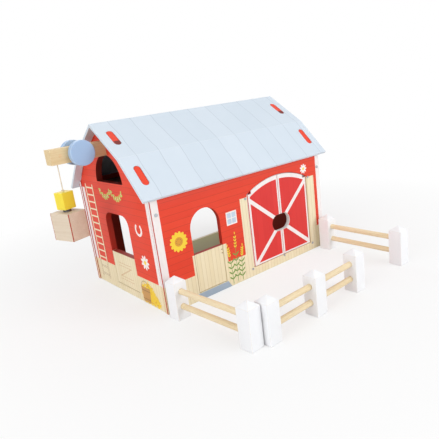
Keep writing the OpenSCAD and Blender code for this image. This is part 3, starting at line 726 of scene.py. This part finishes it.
def screws(name, places, facing, head, shank, body):
    """Screws at places in millimetres; head and shank are radius and length, and the heads face one way."""
    points = bpy.data.meshes.new(name)
    points.from_pydata([Vector(place) * MM for place in places], [], [])
    made = grow(name, points, SCREWS, {
        "Head Radius": head[0] * MM, "Head Height": head[1] * MM, "Shank Radius": shank[0] * MM,
        "Shank Length": shank[1] * MM, "Turn": FACING[facing], "Finish": zinc})
    return as_piece(name, made, body)


WALL_FACE = 142
FRAME_SCREW_XZ = ((-7.5, 158), (171.5, 162), (-7.5, 15), (171.5, 15), (82, 15))
FRAME_HEAD = (2.5, 0.8)
FRAME_SHANK = (1.25, 14)
frame_screws = screws("frame_screws_piece", [(x, -WALL_FACE, z) for x, z in FRAME_SCREW_XZ], "-y", FRAME_HEAD,
                      FRAME_SHANK, "barn")
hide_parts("frame_screws")

# Double door: two 9 mm leaves with quarter-arched heads, painted deep red. White boards are printed on
# the front round each leaf's edge, with braces that cross at the oval finger hole.
DOOR_X = 82
DOOR_RED = "#E03834"
DOOR_SHADE = "#D42F2D"
DOOR_LINE = "#CF2C2D"
HOLE_Z = 88
HOLE_REACH = 8
HOLE_R = 17
LEAF_FOOT = 18
ARCH_R = 176.1
ARCH_Z = 9.9
LEAF_W = 84
DOOR_PLANK = 16
BRACE = 8
BRACES = (((2, 152), (161, 23)), ((6, 22), (159.5, 157)))
MEETING_STILE = 4.2
OUTER_STILE = 6.5
FOOT_RAIL = 3.5
ARCH_BAND = 8.5
NEAR_ARCH = 0.6
NEAR_SIDE = 1
leaves = Finish("printed_door")
red = printed_planks(leaves, leaves.x, DOOR_RED, DOOR_SHADE, DOOR_LINE, DOOR_PLANK, UPRIGHT_GRAIN)
off_middle = leaves.size(leaves.math("SUBTRACT", leaves.x, DOOR_X))
off_arch = leaves.off_point(leaves.x, leaves.z, (DOOR_X, ARCH_Z))
hole_across = leaves.math("MAXIMUM", leaves.math("SUBTRACT", off_middle, HOLE_REACH), 0.0)
hole_up = leaves.math("SUBTRACT", leaves.z, HOLE_Z)
off_hole = leaves.off_point(hole_across, hole_up, (0, 0))
brace_masks = [leaves.below(leaves.off_line(leaves.x, leaves.z, *brace), BRACE / 2) for brace in BRACES]
frame_mask = leaves.either(
    *brace_masks,
    leaves.below(off_middle, MEETING_STILE),
    leaves.above(off_middle, LEAF_W - OUTER_STILE),
    leaves.below(leaves.z, LEAF_FOOT + FOOT_RAIL),
    leaves.above(off_arch, ARCH_R - ARCH_BAND))
front_face = leaves.below(leaves.y, -WALL_OUT)
in_front = leaves.mix(leaves.both(front_face, frame_mask), red, printed_white(leaves))
at_rim = leaves.either(
    leaves.above(off_arch, ARCH_R - NEAR_ARCH),
    leaves.below(off_hole, HOLE_R + NEAR_SIDE),
    leaves.above(off_middle, LEAF_W - NEAR_SIDE))
edge_mask = leaves.both(leaves.between(leaves.y, -WALL_OUT, -WALL_IN), at_rim)
printed_door = leaves.done(leaves.mix(edge_mask, in_front, printed_white(leaves)), rolled(leaves))
door_arris = thin_paint("door_arris", "#EFE3DF")
dress("barn_door_left", printed_door, door_arris)
dress("barn_door_right", printed_door, door_arris)

# Half doors: plain boards in the lower part of the stable and gable doorways, 9 and 12 mm thick to match
# their walls, printed as upright staves. They swing inwards on small butt hinges held by tiny screws.
BACK_FROM = {"x": 11.4, "y": 8.4}
TOP_EDGE = 0.7
LEAF_RED = "#C23A2C"
LEAF_SHADE = "#B03226"


def stave_door(name, outside, staves, out_at, top):
    """A printed leaf; outside and staves say which coordinate faces out and which crosses the staves."""
    finish = Finish(name)
    places = {"x": finish.x, "y": finish.y}
    front = finish.above(finish.size(places[outside]), out_at)
    timber = printed_timber(finish, places[staves])
    on_top = finish.above(finish.z, top - TOP_EDGE)
    edge = finish.mix(on_top, ink(TIMBER_SHADE), painted(finish, LEAF_RED, LEAF_SHADE))
    behind = finish.below(finish.size(places[outside]), out_at - BACK_FROM[outside])
    # Painted shade: the back of the leaf takes the darker inside red.
    back = finish.mix(behind, edge, painted(finish, SHADED_INSIDE_RED, INSIDE_SHADE))
    return finish.done(finish.mix(front, back, timber), rolled(finish))


stable_leaf_print = stave_door("printed_stable_door", "y", "x", WALL_OUT, STABLE_LEAF_TOP)
dress("stable_door", stable_leaf_print, stable_leaf_print)
gable_leaf_print = stave_door("printed_gable_door", "x", "y", GABLE_OUT, GATE_LEAF_TOP)
dress("pulley_half_door", gable_leaf_print, gable_leaf_print)
dress("far_half_door", gable_leaf_print, gable_leaf_print)
for node in ("frame_hinges", "stable_door_hinges", "pulley_door_hinges", "far_door_hinges"):
    dress(node, zinc, zinc, 0.12)
HINGE_SCREW_OFF = 6
WALL_BACK = 133
GABLE_BACK = 196.5
STABLE_HINGE_X = -139.5
GATE_HINGE_Y = 45.5
STABLE_SCREW_Z = (27.5, 36.5, 65.5, 74.5)
GATE_SCREW_Z = (27.5, 36.5, 60.5, 69.5)
PLATE = 0.8
SMALL_HEAD = (1.2, 0.35)
SMALL_SHANK = (0.6, 5)
for place, sign, body in (("frame", -1, "barn"), ("leaf", 1, "stable_leaf")):
    screws("stable_" + place + "_hinge_screws",
           [(STABLE_HINGE_X + sign * HINGE_SCREW_OFF, PLATE - WALL_BACK, z) for z in STABLE_SCREW_Z], "+y",
           SMALL_HEAD, SMALL_SHANK, body)
for gate, side, facing in (("pulley", -1, "+x"), ("far", 1, "-x")):
    for place, sign, body in (("frame", 1, "barn"), ("leaf", -1, gate + "_leaf")):
        screw_x = side * (GABLE_BACK - PLATE)
        screw_y = GATE_HINGE_Y + sign * HINGE_SCREW_OFF
        screws(gate + "_" + place + "_hinge_screws", [(screw_x, screw_y, z) for z in GATE_SCREW_Z], facing,
               SMALL_HEAD, SMALL_SHANK, body)

# Printed pictures: thin flat inks on the outside of the walls. Flowers, a window and grasses are on the long
# walls, and a ladder, a leaf garland, a horseshoe, a daisy, hay and a bucket on the gables.
INK_SUNK = 0.04
INK_HIGH = 0.07
INK_STEP = 0.0015
MARKS, mark_in = new_tree("printed_marks", {"Sides": "Int", "Radius": "Float", "Corner": "Rotation",
                                            "Finish": "Material"})
blank = wire(MARKS, "GeometryNodeMeshCylinder", {"Vertices": mark_in["Sides"], "Radius": mark_in["Radius"],
                                                 "Depth": 1.0}).outputs["Mesh"]
squared = wire(MARKS, "GeometryNodeTransform", {"Geometry": blank, "Rotation": mark_in["Corner"]}).outputs[0]
turn = wire(MARKS, "GeometryNodeInputNamedAttribute", {"Name": "turn"}, data_type="FLOAT")
span = wire(MARKS, "GeometryNodeInputNamedAttribute", {"Name": "span"}, data_type="FLOAT_VECTOR")
about = wire(MARKS, "ShaderNodeCombineXYZ", {"Z": turn.outputs["Attribute"]}).outputs[0]
copies = wire(MARKS, "GeometryNodeInstanceOnPoints", {
    "Points": mark_in["Geometry"], "Instance": squared, "Rotation": about,
    "Scale": span.outputs["Attribute"]}).outputs[0]
close_tree(MARKS, copies, mark_in["Finish"])
ROUND = {"Sides": 14, "Radius": 0.5, "Corner": (0, 0, 0)}
SQUARE = {"Sides": 4, "Radius": math.sqrt(0.5), "Corner": (0, 0, math.pi / 4)}
INK_COLOURS = {
    "yellow_ink": ("#F7D640", "#EFC636"),
    "amber_ink": ("#E0A03A", "#CF8B2C"),
    "white_ink": ("#F8F3F0", "#EFE7E3"),
    "pale_blue_ink": ("#C6D6E6", "#B4C8DD"),
    "grass_ink": ("#7FA14A", "#6B8F3D"),
    "light_leaf_ink": ("#C9D46E", "#B3C45A"),
    "cream_ink": ("#F4E7C7", "#EAD9B0"),
    "brown_ink": ("#A27B4B", "#8F693D"),
    "tan_ink": ("#CF9F63", "#BE8D52"),
    "pink_ink": ("#EBAFA2", "#E19B8E"),
}
INKS = {name: plain_paint(name, *colours) for name, colours in INK_COLOURS.items()}


def marks(colour, form, level, spots):
    """Flat marks of one colour; each spot is u, v, turn in degrees, length and width in millimetres.

    Marks of a higher level lie over those of a lower one."""
    points = bpy.data.meshes.new(colour)
    places = [(spot[0], spot[1], level * INK_HIGH / 2 + at * INK_STEP) for at, spot in enumerate(spots)]
    points.from_pydata(places, [], [])
    turns = [math.radians(spot[2]) for spot in spots]
    points.attributes.new("turn", "FLOAT", "POINT").data.foreach_set("value", turns)
    spans = [value for spot in spots for value in (spot[3], spot[4], INK_HIGH + 2 * INK_SUNK)]
    points.attributes.new("span", "FLOAT_VECTOR", "POINT").data.foreach_set("vector", spans)
    return grow(colour, points, MARKS, dict(form, Finish=INKS[colour]))


def ring(middle, radius, count, length, width, first=0.0, sweep=360.0):
    """Spots set round a point like petals, or along part of a circle."""
    angles = [first + sweep * at / count for at in range(count)]
    return [(middle[0] + radius * math.cos(math.radians(a)), middle[1] + radius * math.sin(math.radians(a)),
             a, length, width) for a in angles]


def rosette(middle, petal):
    """A full flower: two rings of petals round an amber eye with brown seeds."""
    return [marks("yellow_ink", ROUND, 0, ring(middle, petal * 1.35, 14, petal, petal * 0.62)),
            marks("yellow_ink", ROUND, 1, ring(middle, petal * 1.05, 14, petal, petal * 0.55, first=13)),
            marks("amber_ink", ROUND, 2, [(*middle, 0, petal * 1.7, petal * 1.7)]),
            marks("brown_ink", ROUND, 3, ring(middle, petal * 0.5, 9, petal * 0.16, petal * 0.16))]


def daisy(middle, petal):
    """Nine white petals round a yellow eye."""
    return [marks("white_ink", ROUND, 0, ring(middle, petal * 0.8, 9, petal, petal * 0.5)),
            marks("yellow_ink", ROUND, 1, [(*middle, 0, petal * 0.7, petal * 0.7)])]


def little_window(middle, side):
    """A square of sky with a white frame and a cross of glazing bars."""
    u, v = middle
    half = side / 2
    frame_bar = 2.4
    glazing_bar = 1.5
    bars = [(u + hand * half, v, 90, side + frame_bar, frame_bar) for hand in (-1, 1)]
    bars += [(u, v, 90, side, glazing_bar)]
    bars += [(u, v + hand * half, 0, side + frame_bar, frame_bar) for hand in (-1, 1)]
    bars += [(u, v, 0, side, glazing_bar)]
    return [marks("pale_blue_ink", SQUARE, 0, [(u, v, 0, side, side)]), marks("white_ink", SQUARE, 1, bars)]


STEM_PARTS = 12


def grass(foot, height, lean, pairs):
    """A stem that leans as it rises, with leaf pairs up it and an ear of yellow grains."""
    def at(share):
        return foot[0] + lean * share * share, foot[1] + height * share
    stem, leaf, ear = [], [], []
    for step in range(STEM_PARTS):
        low, high = at(step / STEM_PARTS), at((step + 1) / STEM_PARTS)
        angle = math.degrees(math.atan2(high[1] - low[1], high[0] - low[0]))
        length = math.dist(low, high) + 0.5
        stem.append(((low[0] + high[0]) / 2, (low[1] + high[1]) / 2, angle, length, 1.0))
    for step in range(pairs):
        u, v = at(0.12 + 0.58 * step / pairs)
        for hand in (-1, 1):
            leaf.append((u + hand * 4.0, v + 3.4, 90 - hand * 50, 9.5, 2.8))
    for step in range(4):
        u, v = at(0.78 + 0.065 * step)
        for hand in (-1, 1):
            ear.append((u + hand * 1.7, v, 90 - hand * 32, 5.2, 2.4))
    ear.append((*at(1.06), 90, 5.2, 2.4))
    return [marks("grass_ink", SQUARE, 0, stem), marks("grass_ink", ROUND, 1, leaf),
            marks("yellow_ink", ROUND, 1, ear)]


def ladder(left, right, foot, top, rungs):
    """A ladder with a thin shadow, and the lines of a small framed panel below it."""
    step = (top - foot) / rungs
    middle = (left + right) / 2
    wide = right - left
    bars = [(middle, foot + step * (at + 0.5), 0, wide, 3.0) for at in range(rungs)]
    stiles = [(u, (foot + top) / 2, 90, top - foot, 3.4) for u in (left, right)]
    shadow = [(u + 2.1, (foot + top) / 2, 90, top - foot, 0.7) for u in (left, right)]
    low = [(u, 31, 90, 38, 0.6) for u in (left - 1.6, left + 1.6, right - 1.6, right + 1.6)]
    low += [(middle, v, 0, wide - 3.2, 0.6) for v in (18, 21, 35, 38)]
    return [marks("cream_ink", SQUARE, 0, bars), marks("cream_ink", SQUARE, 1, stiles),
            marks("brown_ink", SQUARE, 1, shadow), marks("brown_ink", SQUARE, 0, low)]


def garland(left, right, level, sag, leaves_each):
    """Leaf pairs along a hanging cord that is tied up in three places."""
    leaf, berry = [], []
    for swag in range(2):
        start = left + (right - left) / 2 * swag
        for at in range(leaves_each):
            share = (at + 0.5) / leaves_each
            u = start + (right - left) / 2 * share
            v = level - 4 * sag * share * (1 - share)
            slope = math.degrees(math.atan(-4 * sag * (1 - 2 * share) / ((right - left) / 2)))
            leaf += [(u, v + 2.6, slope + 32, 9.5, 4.2), (u, v - 2.6, slope - 32, 9.5, 4.2)]
            berry.append((u, v, 0, 2.0, 2.0))
    return [marks("light_leaf_ink", ROUND, 0, leaf), marks("white_ink", ROUND, 1, berry)]


def horseshoe(middle, radius):
    """An arc that is open at the top, with seven nails."""
    arc = ring(middle, radius, 26, radius * 0.5, radius * 0.42, first=135, sweep=281)
    nails = ring(middle, radius, 7, 1.5, 1.5, first=150, sweep=285)
    return [marks("white_ink", ROUND, 0, arc), marks("pink_ink", ROUND, 2, nails)]


HAY_SEED = 7
STRAWS = 170
AMBER_EVERY = 7


def hay_heap(left, right, top):
    """Straws laid every way in a heap, in two yellows; the seed is fixed."""
    pick = random.Random(HAY_SEED)
    straw = {"yellow_ink": [], "amber_ink": []}
    for at in range(STRAWS):
        u = pick.uniform(left + 6, right - 6)
        share = (u - left) / (right - left)
        roof_line = top * (0.35 + 0.65 * math.sin(math.pi * min(1, share + 0.12)))
        v = pick.uniform(5, max(8, roof_line - 4))
        colour = "amber_ink" if at % AMBER_EVERY == 0 else "yellow_ink"
        straw[colour].append((u, v, pick.uniform(-70, 70), pick.uniform(9, 15), 1.6))
    bed = [(left + 12 + 11 * at, high / 2, 90, high, 12) for at, high in enumerate((22, 36, 42, 34, 20))]
    return [marks("yellow_ink", ROUND, 0, bed), marks("yellow_ink", SQUARE, 1, straw["yellow_ink"]),
            marks("amber_ink", SQUARE, 1.5, straw["amber_ink"])]


def bucket(middle, foot, height, wide):
    """Seven staves that spread upwards, two hoops and a round handle."""
    staves = [(middle + at * wide / 7.5, foot + height / 2, 90 - at * 2.4, height, wide / 7)
              for at in range(-3, 4)]
    hoops = [(middle, foot + height * share, 0, wide * (0.86 + 0.14 * share), 1.6) for share in (0.2, 0.78)]
    handle = ring((middle, foot + height - 1), wide * 0.46, 15, 2.2, 1.2, first=6, sweep=180)
    handle = [(u, v, angle + 90, length, width) for u, v, angle, length, width in handle]
    return [marks("tan_ink", SQUARE, 10, staves), marks("brown_ink", SQUARE, 11, hoops),
            marks("brown_ink", ROUND, 10, handle)]


def print_on(name, pictures, right, out, origin, body):
    """Lays pictures, drawn in u and v, on a wall: u runs along right, v runs up and the ink stands out."""
    shape = bmesh.new()
    finishes = []
    for layer in pictures:
        ink_used = layer.materials[-1]
        if ink_used not in finishes:
            finishes.append(ink_used)
        fresh = len(shape.faces)
        shape.from_mesh(layer)
        shape.faces.ensure_lookup_table()
        for face in shape.faces[fresh:]:
            face.material_index = finishes.index(ink_used)
    upright = Matrix(((right[0], 0, out[0], 0), (right[1], 0, out[1], 0), (0, 1, 0, 0), (0, 0, 0, 1)))
    shape.transform(Matrix.Translation(Vector(origin) * MM) @ upright @ Matrix.Scale(MM, 4))
    mesh = bpy.data.meshes.new(name)
    shape.to_mesh(mesh)
    shape.free()
    for finish in finishes:
        mesh.materials.append(finish)
    soften(mesh, 10)
    as_piece(name, mesh, body)


GABLE_FACE = 208.5
front_pictures = rosette((-167, 121), 10) + little_window((-46, 131), 23) + daisy((160, 182), 8)
for foot, height, lean, pairs in (((-59, 3), 74, -5, 4), ((-47, 3), 92, 3, 5), ((-35, 3), 66, 6, 4)):
    front_pictures += grass(foot, height, lean, pairs)
print_on("front_wall_print", front_pictures, (1, 0), (0, -1), (0, -WALL_FACE, 0), "barn")
rear_pictures = rosette((48, 140), 10) + daisy((-185, 186), 8) + daisy((172, 150), 8)
for foot, height, lean, pairs in (((34, 3), 70, -5, 4), ((48, 3), 88, 3, 5), ((62, 3), 64, 4, 4)):
    rear_pictures += grass(foot, height, lean, pairs)
print_on("rear_wall_print", rear_pictures, (-1, 0), (0, 1), (0, WALL_FACE, 0), "barn")
latch = [marks("brown_ink", SQUARE, 0, [(-77.5, 79, 0, 3.2, 1.6), (-77.5, 72, 0, 3.2, 1.6)])]
print_on("stable_door_print", latch, (1, 0), (0, -1), (0, -WALL_FACE, 0), "stable_leaf")
for gate, side in (("pulley", -1), ("far", 1)):
    right, out, corner = (0, side), (side, 0), (side * GABLE_FACE, -side * WALL_FACE, 0)
    gable_pictures = ladder(28, 60, 50, 214, 11) + garland(90, 186, 209, 15, 6) + horseshoe((225, 145), 10)
    gable_pictures += daisy((228, 84), 11) + hay_heap(194, 262, 47) + bucket(212, 3, 29, 30)
    print_on(gate + "_gable_print", gable_pictures, right, out, corner, "barn")
    boards = [(142, v, 0, 52, 0.6) for v in (28, 34, 56, 62)] + [(u, 45, 25, 53, 0.6) for u in (140.5, 143.5)]
    print_on(gate + "_half_door_print", [marks("tan_ink", SQUARE, 0, boards)], right, out, corner,
             gate + "_leaf")

# Pulley: a square beech beam runs out through the gable under the ridge, held by a peg inside. An axle
# through it carries two round wheels, which wind the three-strand cotton cord that runs to the beam's end.
beam_wood = bare_wood("beam_wood", "x", "#E6D1A8", "#D0B27E")
dress("pulley_beam", beam_wood, beam_wood, 0.6)
dress("beam_peg", beech, beech, 0.2)
dress("guide_pin", beech, beech, 0.2)
dress("winch_axle", beech, beech, 0.2)
wheel_paint = plain_paint("wheel_paint", "#A2BEDF", "#96B4D8", 0.4)
wheel_arris = thin_paint("wheel_arris", "#AFC8E4")
dress("winch_wheel_front", wheel_paint, wheel_arris, 0.8)
dress("winch_wheel_rear", wheel_paint, wheel_arris, 0.8)
CORD_R = 1.0
STRANDS = 3
STRAND_SIDES = 8
STRAND_R = CORD_R / (1 + 2 / math.sqrt(3))
STRAND_OUT = CORD_R - STRAND_R
LAY = 6.5
CORD_STEP = 0.6
CORD, cord_in = new_tree("three_strand_cord", {
    "Strand Radius": "Float", "Strand Offset": "Float", "Lay": "Float", "Step": "Float",
    "Finish": "Material"})
path = wire(CORD, "GeometryNodeMeshToCurve", {"Mesh": cord_in["Geometry"]}).outputs[0]
even = wire(CORD, "GeometryNodeResampleCurve", {"Curve": path, "Length": cord_in["Step"]}, mode="LENGTH")
trio = wire(CORD, "GeometryNodeDuplicateElements", {"Geometry": even.outputs[0], "Amount": STRANDS},
            domain="SPLINE")
gone = wire(CORD, "GeometryNodeSplineParameter").outputs["Length"]


def cord_math(operation, *values):
    """Arithmetic on the numbers that a strand has along its length."""
    return wire(CORD, "ShaderNodeMath", dict(enumerate(values)), operation=operation).outputs[0]


def cord_vector(operation, inputs):
    """Arithmetic on the directions that a strand has along its length."""
    return wire(CORD, "ShaderNodeVectorMath", inputs, operation=operation).outputs[0]


turns = cord_math("DIVIDE", gone, cord_in["Lay"])
own = cord_math("DIVIDE", trio.outputs["Duplicate Index"], float(STRANDS))
angle = cord_math("MULTIPLY", cord_math("ADD", turns, own), 2 * math.pi)
across = wire(CORD, "GeometryNodeInputNormal").outputs[0]
ahead = wire(CORD, "GeometryNodeInputTangent").outputs[0]
beside = cord_vector("CROSS_PRODUCT", {0: ahead, 1: across})
part_across = cord_vector("SCALE", {0: across, "Scale": cord_math("COSINE", angle)})
part_beside = cord_vector("SCALE", {0: beside, "Scale": cord_math("SINE", angle)})
swing = cord_vector("ADD", {0: part_across, 1: part_beside})
aside = cord_vector("SCALE", {0: swing, "Scale": cord_in["Strand Offset"]})
wound = wire(CORD, "GeometryNodeSetPosition", {"Geometry": trio.outputs[0], "Offset": aside}).outputs[0]
section = wire(CORD, "GeometryNodeCurvePrimitiveCircle", {"Resolution": STRAND_SIDES,
                                                          "Radius": cord_in["Strand Radius"]})
strands = wire(CORD, "GeometryNodeCurveToMesh", {"Curve": wound, "Profile Curve": section.outputs[0],
                                                 "Fill Caps": True}).outputs[0]
close_tree(CORD, strands, cord_in["Finish"])
FIBRE = (0.35, 0.35, 1.2)
FIBRE_DEPTH = 0.08
cotton_finish = Finish("cotton_cord", gloss=0.15)
fibres = cotton_finish.noise(FIBRE, 4)
cotton_finish.relief(fibres, FIBRE_DEPTH)
cotton = cotton_finish.done(cotton_finish.mix(fibres, ink("#F3EBDA"), ink("#D8CBB0")),
                            cotton_finish.scale(fibres, 0.1, 0.85))


def cord_along(name, route, body, thin=1.0):
    """Three-strand cord along a route in millimetres."""
    path = bpy.data.meshes.new(name)
    links = [(at, at + 1) for at in range(len(route) - 1)]
    path.from_pydata([Vector(point) * MM for point in route], links, [])
    made = grow(name, path, CORD, {
        "Strand Radius": STRAND_R * thin * MM, "Strand Offset": STRAND_OUT * thin * MM,
        "Lay": LAY * thin * MM, "Step": CORD_STEP * MM, "Finish": cotton})
    piece = bpy.data.objects.new(name, made)
    scene.collection.objects.link(piece)
    if body:
        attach(piece, body)
    return piece


AXLE_X = -256
AXLE_Z = 288
WINDING_R = 5
WINDING_W = 4.0
TURNS = 3
COIL_STEPS = 32
PIN_X = -291
PIN_Z = 289
BEND_R = 4
TOP_Z = 293
HANG_X = -295
steps = COIL_STEPS * TURNS
coil = [(AXLE_X + WINDING_R * math.sin(2 * math.pi * at / COIL_STEPS), WINDING_W * at / steps - WINDING_W / 2,
         AXLE_Z + WINDING_R * math.cos(2 * math.pi * at / COIL_STEPS)) for at in range(steps + 1)]
winding = cord_along("cord_winding_piece", coil, "winch")
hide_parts("cord_winding")
run = [(AXLE_X - 3 * at, 0, TOP_Z) for at in range(11)] + [(PIN_X, 0, TOP_Z)]
run += [(PIN_X - BEND_R * math.sin(math.radians(a)), 0, PIN_Z + BEND_R * math.cos(math.radians(a)))
        for a in range(10, 91, 10)]
top_cord = cord_along("cord_run_piece", run, "barn")
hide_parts("cord_run")
hang = [(HANG_X, 0, z) for z in (289, 280, 270, 260, 250, 240, 230, 222, 217)]
hanging = cord_along("hoist_cord_piece", hang, None)
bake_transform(hanging)
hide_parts("hoist_cord")
# The knot on top of the block is a small trefoil.
KNOT_Z = 229.3
KNOT_R = 1.5
KNOT_LOOP = 0.9
KNOT_PULL = 1.4
KNOT_TALL = 0.8
KNOT_STEPS = 40
knot = []
for at in range(KNOT_STEPS):
    phase = 2 * math.pi * at / KNOT_STEPS
    knot.append((HANG_X + KNOT_R * (math.sin(phase) + KNOT_LOOP * math.sin(2 * phase)) / KNOT_PULL,
                 KNOT_R * (math.cos(phase) - KNOT_LOOP * math.cos(2 * phase)) / KNOT_PULL,
                 KNOT_Z - KNOT_TALL * math.sin(3 * phase)))
cord_along("cord_knot", knot, "load", 0.9)
yellow = plain_paint("yellow_block_paint", "#F2DE45", "#EACF36", 0.42)
dress("magnet_block", yellow, thin_paint("yellow_arris", "#EDD83F"), 0.6)
steel = plated("dark_steel", "#7A7D80", "#606366", 0.3)
dress("magnet", steel, steel, 0.2)

# Hay bale: a block of pale wood, red-brown along its eased edges, with a steel plate let into the top
# for the magnet.
BALE_X = -295
BALE_TURN = 17
BALE_HALF = (18.5, 25)
EDGE_LINE = 1.3
bale = Finish("bale_wood", centre=(BALE_X, 0, 0), turn=BALE_TURN)
wood_colour, wood_roughness = grained(bale, "y", "#E1D3C0", "#D0BDA4")
at_edge = bale.both(bale.above(bale.size(bale.x), BALE_HALF[0] - EDGE_LINE),
                    bale.above(bale.size(bale.y), BALE_HALF[1] - EDGE_LINE))
bale_print = bale.done(bale.mix(at_edge, wood_colour, ink("#B0503E")), wood_roughness)
dress("hay_bale", bale_print, bale_print, 0.6)
dress("bale_plate", steel, steel, 0.2)

# Fence: three sections that stand by themselves, of square white posts with pointed tops. Two pale wooden
# rails are let into the posts of each bay.
post_white = plain_paint("post_white", "#F2F3F5", "#E9E9EC", 0.42)
post_arris = thin_paint("post_arris", "#F2ECE8")
for side, along in (("left", "y"), ("front", "x"), ("right", "y")):
    rail_wood = bare_wood(side + "_rail_wood", along)
    dress(side + "_fence_posts", post_white, post_arris, 0.9)
    dress(side + "_fence_rails", rail_wood, rail_wood, 0.3)
